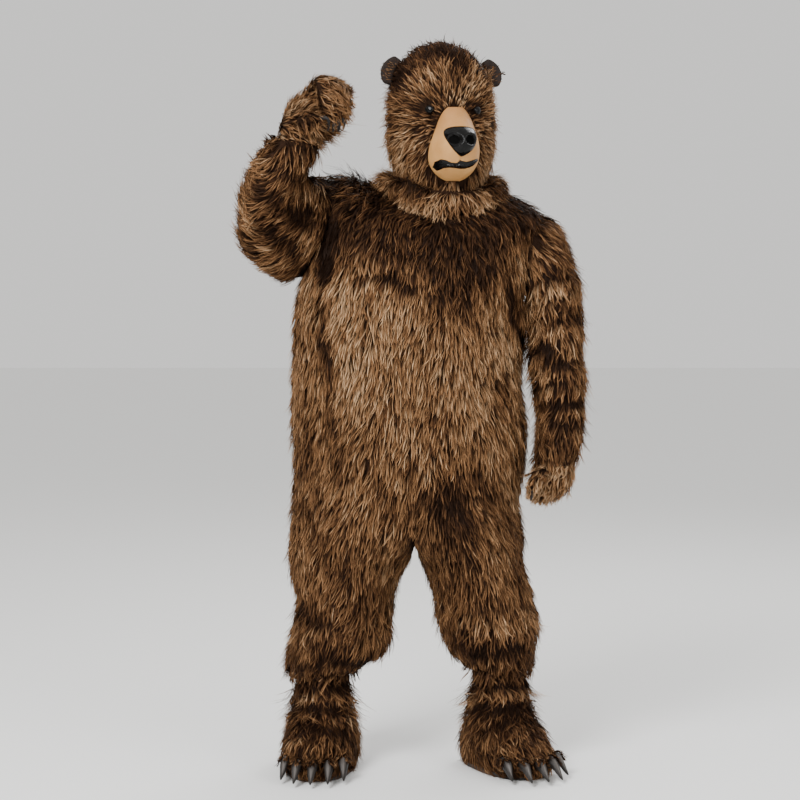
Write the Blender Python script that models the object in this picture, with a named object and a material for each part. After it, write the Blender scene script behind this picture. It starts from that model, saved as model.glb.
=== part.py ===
"""Bear costume, worn and hollow: a one-piece fur suit, an over-head mask with a fur bib, two mitts and two feet.

Metres, +Z up. The front faces -Y, and the wearer's left is +X. The origin is where the suit hangs, at the base
of the neck between the wearer's shoulders. A fur wall is as thick as its backing and the pile that lies on it.
"""

import math

import bpy
import numpy as np
from mathutils.bvhtree import BVHTree

SEAM = 0.0003           # gap between sewn pieces
SEAT = 0.0005           # gap under what lies on a curved piece
FUR = 0.016             # wall of the suit: backing and lying pile
MITT_FUR = 0.011
BIB_FUR = 0.013
LATEX = 0.003
SOLE = 0.010
FLOOR = -1.465          # underside of the soles
RIGHT, LEFT = -1, 1

# The suit's centre line, from the neck to the crotch. A row is one ring round the body.
# Columns: x, height in front, height behind, reach to the front, reach to the back.
CENTRE = (
    (0.022, -0.008, 0.026, 0.086, 0.080),     # neck
    (0.018, -0.028, 0.010, 0.120, 0.112),     # collar
    (0.010, -0.056, -0.018, 0.148, 0.140),    # shoulder
    (0.000, -0.094, -0.056, 0.168, 0.158),    # armhole top
    (-0.010, -0.140, -0.104, 0.181, 0.170),   # upper chest
    (-0.022, -0.190, -0.160, 0.191, 0.178),   # chest
    (-0.036, -0.246, -0.224, 0.199, 0.184),   # underarm
    (-0.050, -0.340, -0.340, 0.205, 0.180),   # ribs
    (-0.060, -0.450, -0.450, 0.214, 0.178),   # waist
    (-0.064, -0.570, -0.570, 0.220, 0.186),   # belly
    (-0.064, -0.680, -0.680, 0.214, 0.204),   # seat
    (-0.062, -0.770, -0.770, 0.202, 0.208),   # hip
    (-0.060, -0.832, -0.832, 0.188, 0.200),   # fork, upper
    (-0.058, -0.874, -0.874, 0.177, 0.189),   # fork, middle
    (-0.056, -0.897, -0.897, 0.170, 0.181),   # fork, lower
    (-0.055, -0.905, -0.905, 0.1675, 0.178),  # crotch
)
FORK = (0, 0, 0, 0, 0, 0, 0, 0, 0, 0, 0, 0, 0.42, 0.72, 0.91, 1.0)   # how far each row has parted into legs
ARMHOLE_TOP, UNDERARM, CROTCH = 3, 6, 15
INSEAM_SHARE = 0.35     # share of a half ring that turns in to the inseam at the fork

# Columns, for the same rows: each half's reach to its side, and the height there.
SIDE = {
    RIGHT: (
        (0.088, 0.034), (0.150, 0.042), (0.212, 0.056), (0.262, 0.064), (0.296, 0.004), (0.312, -0.092),
        (0.318, -0.198), (0.318, -0.330), (0.312, -0.450), (0.308, -0.570), (0.304, -0.680), (0.310, -0.770),
        (0.317, -0.832), (0.323, -0.874), (0.3255, -0.897), (0.326, -0.905),
    ),
    LEFT: (
        (0.088, 0.034), (0.146, 0.030), (0.204, 0.014), (0.262, -0.014), (0.276, -0.074), (0.276, -0.156),
        (0.270, -0.248), (0.280, -0.345), (0.278, -0.450), (0.298, -0.570), (0.292, -0.680), (0.272, -0.770),
        (0.282, -0.832), (0.287, -0.874), (0.283, -0.897), (0.2825, -0.905),
    ),
}

# The legs below the crotch, down to the hem that closes on the foot's shaft.
# Columns: x, y, z, half width, reach to the front, reach to the back.
SHAFT_RADIUS = 0.071
HEM_RADIUS = SHAFT_RADIUS + FUR + SEAT
ANKLE = {RIGHT: (-0.298, 0.010), LEFT: (0.167, 0.014)}
LEG = {
    RIGHT: (
        (-0.2260, 0.001, -0.932, 0.154, 0.160, 0.170), (-0.2360, 0.002, -0.978, 0.138, 0.148, 0.156),
        (-0.2340, 0.000, -1.027, 0.126, 0.140, 0.146), (-0.2420, -0.002, -1.079, 0.128, 0.136, 0.140),
        (-0.2470, 0.000, -1.126, 0.132, 0.138, 0.138), (-0.2570, 0.004, -1.160, 0.130, 0.134, 0.132),
        (-0.2750, 0.008, -1.188, 0.118, 0.122, 0.118), (-0.2890, 0.010, -1.208, 0.101, 0.102, 0.100),
        (ANKLE[RIGHT][0], ANKLE[RIGHT][1], -1.224, HEM_RADIUS, HEM_RADIUS, HEM_RADIUS),
    ),
    LEFT: (
        (0.0940, 0.001, -0.932, 0.132, 0.158, 0.167), (0.1130, 0.002, -0.978, 0.129, 0.147, 0.154),
        (0.1260, 0.000, -1.027, 0.128, 0.140, 0.144), (0.1340, -0.002, -1.076, 0.131, 0.138, 0.140),
        (0.1400, 0.002, -1.118, 0.124, 0.134, 0.134), (0.1430, 0.008, -1.150, 0.114, 0.126, 0.124),
        (0.1545, 0.012, -1.176, 0.104, 0.114, 0.110), (0.1630, 0.014, -1.196, 0.095, 0.100, 0.098),
        (ANKLE[LEFT][0], ANKLE[LEFT][1], -1.212, HEM_RADIUS, HEM_RADIUS, HEM_RADIUS),
    ),
}

# Rows of the suit that the mesh takes, and the columns of one panel.
ROWS = tuple(np.concatenate((np.arange(0, 3, 1), np.arange(3, 11, 0.5), np.arange(11, 25, 1))))
COLUMNS = 10

# The largest folds: a soft trough (depth below 0) or ridge along a line in the front view.
# Columns: which face, the line's start x and z, its end x and z, width, depth.
FRONT, BACK = "front", "back"
FOLDS = (
    (FRONT, -0.285, 0.010, -0.296, -0.330, 0.020, -0.016),
    (FRONT, -0.296, -0.330, -0.300, -0.720, 0.022, -0.014),
    (FRONT, -0.245, -0.060, -0.262, -0.420, 0.026, 0.011),
    (FRONT, -0.335, -0.260, -0.340, -0.600, 0.020, 0.009),
    (FRONT, -0.195, -0.185, 0.040, -0.250, 0.026, -0.010),
    (FRONT, -0.150, -0.150, 0.060, -0.190, 0.024, 0.008),
    (FRONT, 0.215, -0.110, 0.150, -0.350, 0.024, -0.012),
    (FRONT, 0.180, -0.380, 0.120, -0.640, 0.026, -0.009),
    (FRONT, 0.100, -0.680, 0.225, -0.900, 0.038, -0.011),
    (FRONT, 0.010, -0.690, 0.085, -0.850, 0.034, -0.010),
    (FRONT, -0.085, -0.690, 0.010, -0.800, 0.024, -0.012),
    (FRONT, -0.140, -0.720, -0.075, -0.880, 0.022, -0.010),
    (FRONT, -0.330, -0.790, -0.240, -0.980, 0.026, -0.010),
    (FRONT, -0.330, -1.045, -0.170, -1.075, 0.018, -0.010),
    (FRONT, 0.050, -1.050, 0.220, -1.085, 0.018, -0.010),
    (BACK, -0.230, -0.020, -0.180, -0.330, 0.026, -0.012),
    (BACK, 0.190, -0.090, 0.130, -0.360, 0.026, -0.012),
    (BACK, -0.220, -0.430, 0.060, -0.470, 0.026, -0.010),
    (BACK, -0.300, -0.560, -0.090, -0.640, 0.028, -0.010),
    (BACK, -0.230, -0.760, -0.110, -0.880, 0.026, -0.014),
    (BACK, 0.110, -0.760, 0.000, -0.880, 0.026, -0.014),
    (BACK, -0.320, -1.030, -0.170, -1.065, 0.020, -0.012),
    (BACK, 0.050, -1.030, 0.210, -1.070, 0.020, -0.012),
)

# Sleeve rings after the armhole. Columns: x and z of the upper side in the front view, x and z of the lower
# side, y of the middle, half depth.
SLEEVE = {
    RIGHT: (
        (-0.290, 0.075, -0.376, -0.204, -0.016, 0.104), (-0.306, 0.074, -0.410, -0.196, -0.042, 0.106),
        (-0.315, 0.071, -0.446, -0.178, -0.072, 0.102), (-0.321, 0.070, -0.478, -0.146, -0.098, 0.096),
        (-0.324, 0.072, -0.498, -0.100, -0.120, 0.092), (-0.325, 0.076, -0.507, -0.046, -0.132, 0.088),
        (-0.322, 0.084, -0.502, 0.010, -0.138, 0.084), (-0.314, 0.096, -0.486, 0.058, -0.140, 0.080),
        (-0.304, 0.110, -0.464, 0.098, -0.138, 0.076), (-0.294, 0.126, -0.440, 0.134, -0.132, 0.072),
        (-0.288, 0.144, -0.418, 0.166, -0.124, 0.066),
    ),
    LEFT: (
        (0.306, -0.037, 0.242, -0.267, -0.002, 0.098), (0.335, -0.086, 0.244, -0.288, -0.006, 0.097),
        (0.359, -0.146, 0.241, -0.312, -0.010, 0.091), (0.374, -0.206, 0.239, -0.340, -0.014, 0.084),
        (0.380, -0.262, 0.238, -0.374, -0.018, 0.080), (0.380, -0.318, 0.239, -0.412, -0.022, 0.078),
        (0.383, -0.376, 0.242, -0.452, -0.027, 0.078), (0.386, -0.436, 0.246, -0.494, -0.033, 0.077),
        (0.387, -0.496, 0.252, -0.536, -0.040, 0.075), (0.385, -0.552, 0.254, -0.580, -0.047, 0.073),
        (0.378, -0.604, 0.252, -0.618, -0.054, 0.070), (0.367, -0.650, 0.248, -0.652, -0.060, 0.065),
    ),
}
# Folds across a sleeve: place along it in rings, angle of the deepest point, width in rings, depth.
SLEEVE_FOLDS = {
    RIGHT: ((3.4, -150, 0.45, -0.010), (5.0, 180, 0.45, 0.008), (6.2, 165, 0.45, -0.011), (8.1, -150, 0.5, -0.009)),
    LEFT: (
        (3.1, -40, 0.40, -0.010), (4.2, -60, 0.35, 0.008), (5.1, -90, 0.40, -0.011), (6.3, -70, 0.35, 0.007),
        (7.2, -100, 0.42, -0.013), (8.3, -60, 0.35, 0.007), (9.1, -90, 0.40, -0.010),
    ),
}

# The mask, from the jaw to the crown, in the head's own frame: facing -Y about its own axis.
# Columns: z, half width, reach to the front, reach to the back.
MASK = (
    (0.034, 0.114, 0.102, 0.110), (0.074, 0.127, 0.115, 0.127), (0.118, 0.137, 0.126, 0.140),
    (0.160, 0.141, 0.131, 0.149), (0.200, 0.142, 0.133, 0.154), (0.240, 0.140, 0.131, 0.156),
    (0.280, 0.136, 0.126, 0.152), (0.316, 0.128, 0.116, 0.142), (0.348, 0.115, 0.103, 0.126),
    (0.376, 0.095, 0.085, 0.104), (0.398, 0.069, 0.062, 0.075), (0.412, 0.036, 0.033, 0.039),
)
CROWN_Z = 0.418
JAW_RISE = 0.042        # how much higher the mask ends behind than under the chin
HEAD_AT = (0.013, -0.028)
HEAD_TURN = math.radians(14)
MASK_SPAN = 10

# The bib lies on the suit's shoulders, then rises to a ruff round the jaw.
BIB_ROW, BIB_LIFT = 1.30, 0.0022    # the suit row it lies on, and how far it stands off it
# The collar's ring round the jaw, in front and at the sides: times the jaw outside and inside, their rises.
RUFF_FRONT, RUFF_SIDE = np.array((1.10, 1.00, -0.012, -0.022)), np.array((1.26, 1.12, 0.024, -0.006))
BIB_STEPS = 2 * MASK_SPAN

MUZZLE_OFF, NOSE_OFF, EYE_OFF = 0.0024, 0.0026, 0.0008     # how far their backs stand off what they follow
# The muzzle, from the bridge between the eyes down to the chin. Columns: z, half width, reach.
MUZZLE = (
    (0.236, 0.018, 0.003), (0.224, 0.031, 0.014), (0.206, 0.042, 0.029), (0.188, 0.048, 0.048),
    (0.168, 0.055, 0.068), (0.146, 0.062, 0.081), (0.124, 0.0665, 0.083), (0.102, 0.066, 0.075),
    (0.084, 0.059, 0.064), (0.068, 0.047, 0.047), (0.057, 0.032, 0.026), (0.050, 0.016, 0.006),
)
NOSE_AT, NOSE_HALF_WIDTH, NOSE_HALF_HEIGHT, NOSE_BULGE = 0.146, 0.0525, 0.0465, 0.015
NOSTRIL = (0.0190, 0.001, 0.0120, 0.012)      # from the nose's middle: across, up, radius, depth
MOUTH_Z, MOUTH_HALF_WIDTH, LIP_BULGE = 0.098, 0.056, 0.005
# The mouth's edges. Columns: share of its half width, upper edge, lower edge, from the mouth's height.
LIPS = (
    (0.00, 0.000, -0.0225), (0.22, -0.004, -0.0210), (0.44, -0.0065, -0.0190), (0.66, -0.002, -0.0205),
    (0.84, 0.001, -0.0220), (1.00, 0.000, -0.0130),
)
EYE_AT, EYE_RADIUS, EYE_BULGE = (0.0625, 0.229), 0.0110, 0.0075
EYE_SOCKET, SOCKET_RADIUS = 0.009, 0.026
EAR_Z = (0.300, 0.360)
EAR_HEIGHT, EAR_THICK, EAR_CUP = 0.035, 0.015, 0.010

# Mitts: a flattened tube from the wrist, over the knuckles, to the curled fingertips.
# Columns: x, y, z, half width, half thickness.
MITT = {
    RIGHT: (
        (-0.353, -0.124, 0.155, 0.052, 0.050), (-0.347, -0.119, 0.182, 0.056, 0.047),
        (-0.332, -0.104, 0.207, 0.060, 0.041), (-0.309, -0.082, 0.230, 0.060, 0.036),
        (-0.288, -0.072, 0.258, 0.058, 0.031), (-0.275, -0.090, 0.281, 0.056, 0.028),
        (-0.267, -0.126, 0.290, 0.053, 0.027), (-0.261, -0.162, 0.276, 0.049, 0.025),
        (-0.257, -0.180, 0.243, 0.043, 0.023), (-0.255, -0.174, 0.210, 0.034, 0.018),
    ),
    LEFT: (
        (0.3065, -0.060, -0.651, 0.046, 0.050), (0.304, -0.067, -0.674, 0.053, 0.046),
        (0.299, -0.078, -0.694, 0.054, 0.039), (0.292, -0.084, -0.717, 0.052, 0.032),
        (0.286, -0.072, -0.738, 0.049, 0.027), (0.281, -0.044, -0.747, 0.046, 0.025),
        (0.278, -0.014, -0.741, 0.041, 0.023), (0.276, 0.008, -0.729, 0.033, 0.018),
    ),
}
MITT_ACROSS = {RIGHT: (0.90, 0.36, -0.22), LEFT: (0.96, -0.10, 0.22)}
THUMB = {
    RIGHT: ((-0.343, -0.172, 0.196), (-0.335, -0.194, 0.197), (-0.315, -0.209, 0.198), (-0.291, -0.211, 0.202)),
    LEFT: ((0.268, -0.125, -0.681), (0.252, -0.142, -0.691), (0.243, -0.149, -0.708), (0.241, -0.145, -0.726)),
}
THUMB_RADIUS = (0.015, 0.018, 0.017, 0.012)
MITT_STEPS = 12
PAST_CUFF = 0.006

# Feet: rings above the sole. Columns: z, half width, reach to the toes, reach to the heel.
FOOT = (
    (0.000, 0.094, 0.200, 0.092), (0.030, 0.102, 0.210, 0.100), (0.064, 0.100, 0.196, 0.100),
    (0.098, 0.091, 0.152, 0.094), (0.130, 0.082, 0.104, 0.084), (0.165, 0.076, 0.080, 0.077),
    (0.200, 0.072, 0.073, 0.073), (0.228, SHAFT_RADIUS, SHAFT_RADIUS, SHAFT_RADIUS),
    (0.262, SHAFT_RADIUS, SHAFT_RADIUS, SHAFT_RADIUS), (0.292, 0.069, 0.069, 0.069),
)
FOOT_TURN = {RIGHT: math.radians(-4), LEFT: math.radians(24)}
FOOT_STEPS = 20
CLAW_SPREAD = (-0.066, -0.034, 0.0, 0.034, 0.066)
CLAW_HEART = (1.0, -0.100)      # where a claw's axis starts: share of its spread, and y
CLAW_TURN = math.radians(6)     # how far the outer claws point outward
CLAW_ROOT_Z, CLAW_RADIUS, CLAW_LENGTH = 0.030, 0.0130, 0.066


def colour(red, green, blue):
    return (red, green, blue, 1.0)


MATERIALS = {
    "brown_fur": (colour(0.125, 0.068, 0.036), 0.85, 0.0),
    "light_fur": (colour(0.200, 0.115, 0.062), 0.85, 0.0),
    "tan_latex": (colour(0.460, 0.270, 0.150), 0.55, 0.0),
    "black_gloss": (colour(0.012, 0.011, 0.011), 0.15, 0.0),
    "claw_plastic": (colour(0.070, 0.058, 0.052), 0.35, 0.0),
    "sole_rubber": (colour(0.025, 0.024, 0.023), 0.80, 0.0),
    "zip_tape": (colour(0.045, 0.028, 0.018), 0.70, 0.0),
}


def material(name):
    made = bpy.data.materials.get(name)
    if made is None:
        made = bpy.data.materials.new(name)
        made.use_nodes = True
        base, roughness, metallic = MATERIALS[name]
        shader = made.node_tree.nodes["Principled BSDF"]
        shader.inputs["Base Color"].default_value = base
        shader.inputs["Roughness"].default_value = roughness
        shader.inputs["Metallic"].default_value = metallic
        made.diffuse_color = base
    return made


def add_object(name, points, faces, finish):
    mesh = bpy.data.meshes.new(name)
    mesh.from_pydata([tuple(map(float, p)) for p in points], [], faces)
    mesh.materials.append(material(finish))
    mesh.shade_smooth()
    mesh.set_sharp_from_angle(angle=math.radians(60))
    mesh.update()
    thing = bpy.data.objects.new(name, mesh)
    bpy.context.collection.objects.link(thing)
    return thing


def unit(vector):
    return vector / np.linalg.norm(vector)


def smooth_row(table, at):
    """A table's row at a place between its rows, on a smooth curve through them."""
    rows = np.asarray(table, float)
    last = len(rows) - 1
    at = min(max(at, 0.0), last)
    low = min(int(at), last - 1)
    t = at - low
    before, start, end, after = (rows[min(max(low + k, 0), last)] for k in (-1, 0, 1, 2))
    bend = (2 * before - 5 * start + 4 * end - after) * t * t
    return 0.5 * (2 * start + (end - before) * t + bend + (3 * start - before - 3 * end + after) * t ** 3)


def wall(name, outer, inner, finish, tube=False, tip=None):
    """A closed wall between two grids of points. A tube's columns join up, and a tip closes its last row.

    Faces on a seam are split from their higher outer point, so that two pieces that meet there stay apart.
    """
    rows, columns = len(outer), len(outer[0])
    points = [p for row in outer for p in row] + [p for row in inner for p in row]
    count = rows * columns
    faces = []

    def out(j, i):
        return j * columns + i % columns

    def into(j, i):
        return count + out(j, i)

    def seam(a, b, flip):
        """The strip between two outer points and the inner points behind them."""
        if points[a][2] >= points[b][2]:
            pair = ((a, b, b + count), (a, b + count, a + count))
        else:
            pair = ((a, b, a + count), (b, b + count, a + count))
        faces.extend(tuple(reversed(face)) if flip else face for face in pair)

    for j in range(rows - 1):
        for i in range(columns if tube else columns - 1):
            a, b, c, d = out(j, i), out(j, i + 1), out(j + 1, i + 1), out(j + 1, i)
            level = np.linalg.norm(points[a] - points[c]) <= np.linalg.norm(points[b] - points[d])
            for face in ((a, b, c), (a, c, d)) if level else ((a, b, d), (b, c, d)):
                faces.append(face)
                faces.append(tuple(count + k for k in reversed(face)))
    for i in range(columns if tube else columns - 1):
        seam(out(0, i), out(0, i + 1), True)
        if tip is None:
            seam(out(rows - 1, i), out(rows - 1, i + 1), False)
    if not tube:
        for j in range(rows - 1):
            seam(out(j, 0), out(j + 1, 0), False)
            seam(out(j, columns - 1), out(j + 1, columns - 1), True)
    if tip is not None:
        points += list(tip)
        top, under = len(points) - 2, len(points) - 1
        for i in range(columns if tube else columns - 1):
            faces.append((out(rows - 1, i), out(rows - 1, i + 1), top))
            faces.append((into(rows - 1, i + 1), into(rows - 1, i), under))
        if not tube:
            for edge, flip in ((0, False), (columns - 1, True)):
                a, c = out(rows - 1, edge), into(rows - 1, edge)
                pair = ((a, top, under), (a, under, c))
                faces.extend(tuple(reversed(face)) if flip else face for face in pair)
    return add_object(name, points, facing_out(points, faces), finish)


def facing_out(points, faces):
    """The same faces, turned if they enclose a negative volume."""
    at = np.asarray(points, float)
    volume = 0.0
    for face in faces:
        for k in range(1, len(face) - 1):
            volume += np.dot(at[face[0]], np.cross(at[face[k]], at[face[k + 1]]))
    return faces if volume > 0 else [tuple(reversed(face)) for face in faces]


def plug(name, rings, finish, root=None):
    """A solid through closed rings of points, with a point at each end."""
    points = [p for ring in rings for p in ring]
    steps, last = len(rings[0]), (len(rings) - 1) * len(rings[0])
    faces = []
    for j in range(len(rings) - 1):
        for i in range(steps):
            a, b = j * steps + i, j * steps + (i + 1) % steps
            faces.append((a, b, b + steps, a + steps))
    points += [np.mean(rings[0], axis=0) if root is None else root, np.mean(rings[-1], axis=0)]
    for i in range(steps):
        following = (i + 1) % steps
        faces.append((following, i, len(points) - 2))
        faces.append((last + i, last + following, len(points) - 1))
    return add_object(name, points, facing_out(points, faces), finish)


def skin_of(thing):
    """What a ray is cast on to seat a piece on a finished one."""
    thing.data.calc_loop_triangles()
    corners = [tuple(vertex.co) for vertex in thing.data.vertices]
    return BVHTree.FromPolygons(corners, [tuple(face.vertices) for face in thing.data.loop_triangles])


def onto(skin, start, toward, gap):
    """The point a gap short of where a ray meets a piece."""
    toward = unit(np.asarray(toward, float))
    return np.array(skin.ray_cast(tuple(start), tuple(toward))[0]) - gap * toward


def fold_depth(on, x, z):
    """How far the folds move the surface out at a place in the front view."""
    total = 0.0
    for where, x0, z0, x1, z1, width, depth in FOLDS:
        if where != on:
            continue
        line = np.array((x1 - x0, z1 - z0))
        along = np.clip(np.dot((x - x0, z - z0), line) / np.dot(line, line), 0, 1)
        away = math.hypot(x - x0 - along * line[0], z - z0 - along * line[1])
        total += depth * math.exp(-(away / width) ** 2) * (0.35 + 0.65 * math.sin(math.pi * along))
    return total


def suit_ring(side, row):
    """Centre x and y, half width, front and back reach, three heights and fork of one ring of one half."""
    if row <= CROTCH:
        x, front_z, back_z, front, back = smooth_row(CENTRE, row)
        reach, side_z = smooth_row(SIDE[side], row)
        fork = float(np.interp(row, range(len(FORK)), FORK))
        half = reach / (1 + fork)
        return x + side * half * fork, 0.0, half, front, back, front_z, side_z, back_z, fork
    x, y, z, half, front, back = smooth_row(LEG[side], row - CROTCH - 1)
    return x, y, half, front, back, z, z, z, 1.0


def suit_plain(side, row, turn):
    """The suit's outer surface without folds. turn is 0 at the front's middle or inseam and 1 at the back's."""
    x, y, half, front, back, front_z, side_z, back_z, fork = suit_ring(side, row)
    past = math.asin(min(fork, 1.0))
    even = turn * (math.pi + 2 * past) - past
    near = max(1 - min(turn, 1 - turn) / INSEAM_SHARE, 0.0) ** 2
    at_fork = turn * math.pi + (-past if turn < 0.5 else past) * near
    angle = at_fork + (even - at_fork) * min(max((row - CROTCH - 1) / 5, 0.0), 1.0)
    reach = -front if turn < 0.5 else -back
    rise = max(math.sin(angle), 0.0) ** 2
    low = front_z if turn < 0.5 else back_z
    return np.array((x + side * half * math.sin(angle), y + reach * math.cos(angle), low + (side_z - low) * rise))


def suit_out(side, row, turn):
    """Unit vector out of the suit."""
    across = suit_plain(side, row, min(turn + 0.01, 1)) - suit_plain(side, row, max(turn - 0.01, 0))
    last = CROTCH + len(LEG[side])
    down = suit_plain(side, min(row + 0.05, last), turn) - suit_plain(side, max(row - 0.05, 0), turn)
    return -side * unit(np.cross(across, down))


def suit_point(side, row, turn):
    plain = suit_plain(side, row, turn)
    on = FRONT if turn <= 0.5 else BACK
    ends = 1.0 if 2 < row < CROTCH + len(LEG[side]) - 1 else 0.0
    edge = min(1.0, abs(turn - 0.5) / 0.06)
    middle = min(1.0, min(turn, 1 - turn) / 0.06) if row > CROTCH - 2 else 1.0
    out = suit_out(side, row, turn)
    if turn in (0.0, 1.0) and row <= CROTCH:
        out = unit(out * (0, 1, 1))
    return plain + out * fold_depth(on, plain[0], plain[2]) * ends * edge * middle


def armhole_turn(row, front):
    """Where a ring stops at the armhole: at the side seam outside it."""
    inside = (row - ARMHOLE_TOP) / (UNDERARM - ARMHOLE_TOP)
    if not 0 < inside < 1:
        return 0.5
    gap = (0.150 if front else 0.135) * math.sin(math.pi * inside) ** 0.7
    return 0.5 - gap if front else 0.5 + gap


def armhole_middle(side):
    top, under = suit_plain(side, ARMHOLE_TOP, 0.5), suit_plain(side, UNDERARM, 0.5)
    return (top + under) / 2


ARMHOLE_AXIS = {RIGHT: unit(np.array((-0.92, -0.25, -0.10))), LEFT: unit(np.array((0.88, -0.05, -0.47)))}


def edge_out(side, row, turn):
    """Direction through the wall at an armhole's edge: halfway between the suit's and the sleeve's."""
    away = suit_point(side, row, turn) - armhole_middle(side)
    axis = ARMHOLE_AXIS[side]
    sleeve = unit(away - np.dot(away, axis) * axis)
    return unit(suit_out(side, row, turn) + sleeve)


def suit_pair(side, row, turn, front, at_middle, at_side):
    """Outer and inner point of the suit's wall, set back from the seams that the point lies on."""
    point = suit_point(side, row, turn)
    if ARMHOLE_TOP <= row <= UNDERARM and at_side:
        out = edge_out(side, row, turn)
    else:
        out = suit_out(side, row, turn)
        if at_middle and row < CROTCH:
            out = unit(out * (0, 1, 1))
        elif at_middle and row == CROTCH:
            out = np.array((0, 0, -1.0))
        elif at_middle or at_side:
            out = unit(out * (1, 0, 1))
    back_off = np.zeros(3)
    if at_middle:
        back_off += (side * SEAM / 2, 0, 0)
    if at_middle or at_side:
        back_off += (0, (-SEAM if front else SEAM) / 2, 0)
    return point + back_off, point + back_off - FUR * out


def panel(name, side, front):
    outer, inner = [], []
    for row in ROWS:
        edge = armhole_turn(row, front)
        start, stop = (0.0, edge) if front else (1.0, edge)
        pairs = [
            suit_pair(side, row, start + (stop - start) * i / COLUMNS, front, i == 0, i == COLUMNS)
            for i in range(COLUMNS + 1)
        ]
        outer.append([pair[0] for pair in pairs])
        inner.append([pair[1] for pair in pairs])
    return wall(name, outer, inner, "brown_fur")


def armhole_loop(side):
    """Outer and inner points round an armhole, from its top down the front and up the back."""
    rows = [row for row in ROWS if ARMHOLE_TOP <= row <= UNDERARM]
    places = [(row, armhole_turn(row, True)) for row in rows]
    places += [(row, armhole_turn(row, False)) for row in reversed(rows[1:-1])]
    loop = [suit_point(side, row, turn) for row, turn in places]
    outs = [edge_out(side, row, turn) for row, turn in places]
    middle = armhole_middle(side)
    outer, inner = [], []
    for k, (point, out) in enumerate(zip(loop, outs)):
        along = loop[(k + 1) % len(loop)] - loop[k - 1]
        step = unit(np.cross(out, along))
        if np.dot(step, middle + 0.1 * ARMHOLE_AXIS[side] - point) < 0:
            step = -step
        outer.append(point + SEAM * step)
        inner.append(point + SEAM * step - FUR * out)
    return outer, inner


def sleeve_point(side, place, angle, inside):
    """A point of the sleeve: place counts its rings from 1, angle is 0 at the crown and 90 degrees in front."""
    crown_x, crown_z, under_x, under_z, mid_y, depth = smooth_row(SLEEVE[side], place - 1)
    middle = np.array(((crown_x + under_x) / 2, mid_y, (crown_z + under_z) / 2))
    up = np.array((crown_x - under_x, 0, crown_z - under_z)) / 2
    tall = np.linalg.norm(up)
    puff = -inside
    for at, deepest, width, fold in SLEEVE_FOLDS[side]:
        turned = math.cos(angle - math.radians(-deepest))
        puff += fold * math.exp(-((place - at) / width) ** 2) * max(0.0, 0.45 + 0.55 * turned)
    return (
        middle
        + up / tall * (tall + puff) * math.cos(angle)
        + np.array((0, -1, 0)) * (depth + puff) * math.sin(angle)
    )


def sleeve(name, side):
    first_outer, first_inner = armhole_loop(side)
    steps = len(first_outer)
    outer, inner = [first_outer], [first_inner]
    angles = [2 * math.pi * i / steps for i in range(steps)]
    for place in range(1, len(SLEEVE[side]) + 1):
        outer.append([sleeve_point(side, place, angle, 0) for angle in angles])
        inner.append([sleeve_point(side, place, angle, FUR) for angle in angles])
    return wall(name, outer, inner, "brown_fur", tube=True)


def back_zip():
    """The closed zip behind the back seam, on the inner face of both back panels."""
    half_width, thick = 0.015, 0.0025
    outer, inner = [], []
    for row in [row for row in ROWS if 0 < row < 10]:
        across = []
        for side, share in ((RIGHT, 1.0), (RIGHT, 0.0), (LEFT, 1.0)):
            point, behind = suit_pair(side, row, 1.0, False, True, False)
            out = unit(point - behind)
            shift = np.array((side * half_width * share if share else -side * SEAM / 2, 0, 0))
            across.append((behind + shift - 5 * SEAT * out, out))
        outer.append([p for p, _ in across])
        inner.append([p - thick * out for p, out in across])
    return wall("back_zip", outer, inner, "zip_tape")


def head_place(point):
    """From the head's own frame to the part's."""
    x, y, z = point
    c, s = math.cos(HEAD_TURN), math.sin(HEAD_TURN)
    return np.array((HEAD_AT[0] + c * x - s * y, HEAD_AT[1] + s * x + c * y, z))


def mask_row_at(z):
    heights = [row[0] for row in MASK]
    return float(np.interp(z, heights, range(len(heights))))


def mask_local(row, angle, inside=0.0):
    """A point of the mask in the head's frame. angle is 0 in front and runs to the wearer's left."""
    z, half, front, back = smooth_row(MASK, row)
    reach = front if math.cos(angle) > 0 else back
    rise = JAW_RISE * max(1 - row / 3, 0.0) * (1 - math.cos(angle)) / 2
    point = np.array(((half - inside) * math.sin(angle), -(reach - inside) * math.cos(angle), z + rise))
    for side in (RIGHT, LEFT):
        away = math.hypot(point[0] - side * EYE_AT[0], z - EYE_AT[1])
        if point[1] < 0:
            point[1] += EYE_SOCKET * math.exp(-(away / SOCKET_RADIUS) ** 2)
    return point


def front_y(skin, x, z, gap):
    """How far forward a piece of the head reaches at a place in the front view, in the head's frame."""
    start = head_place((x, -0.5, z))
    ahead = unit(head_place((x, 0.5, z)) - start)
    return -0.5 + np.dot(onto(skin, start, ahead, gap) - start, ahead)


def mask_half(name, front):
    outer, inner = [], []
    gap = -SEAM / 2 if front else SEAM / 2
    for row in range(len(MASK)):
        near, far = [], []
        for i in range(MASK_SPAN + 1):
            angle = -math.pi / 2 + math.pi * i / MASK_SPAN + (0 if front else math.pi)
            sink = 0.0 if i in (0, MASK_SPAN) else 1.0
            over, under = mask_local(row, angle), mask_local(row, angle, FUR)
            if not sink:
                over[1] = under[1] = 0.0
            near.append(head_place(over + (0, gap, 0)))
            far.append(head_place(under + (0, gap, -FUR * max(row - 7, 0) / 4)))
        outer.append(near)
        inner.append(far)
    tip = (head_place((0, gap, CROWN_Z)), head_place((0, gap, CROWN_Z - FUR)))
    return wall(name, outer, inner, "brown_fur", tip=tip)


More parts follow.
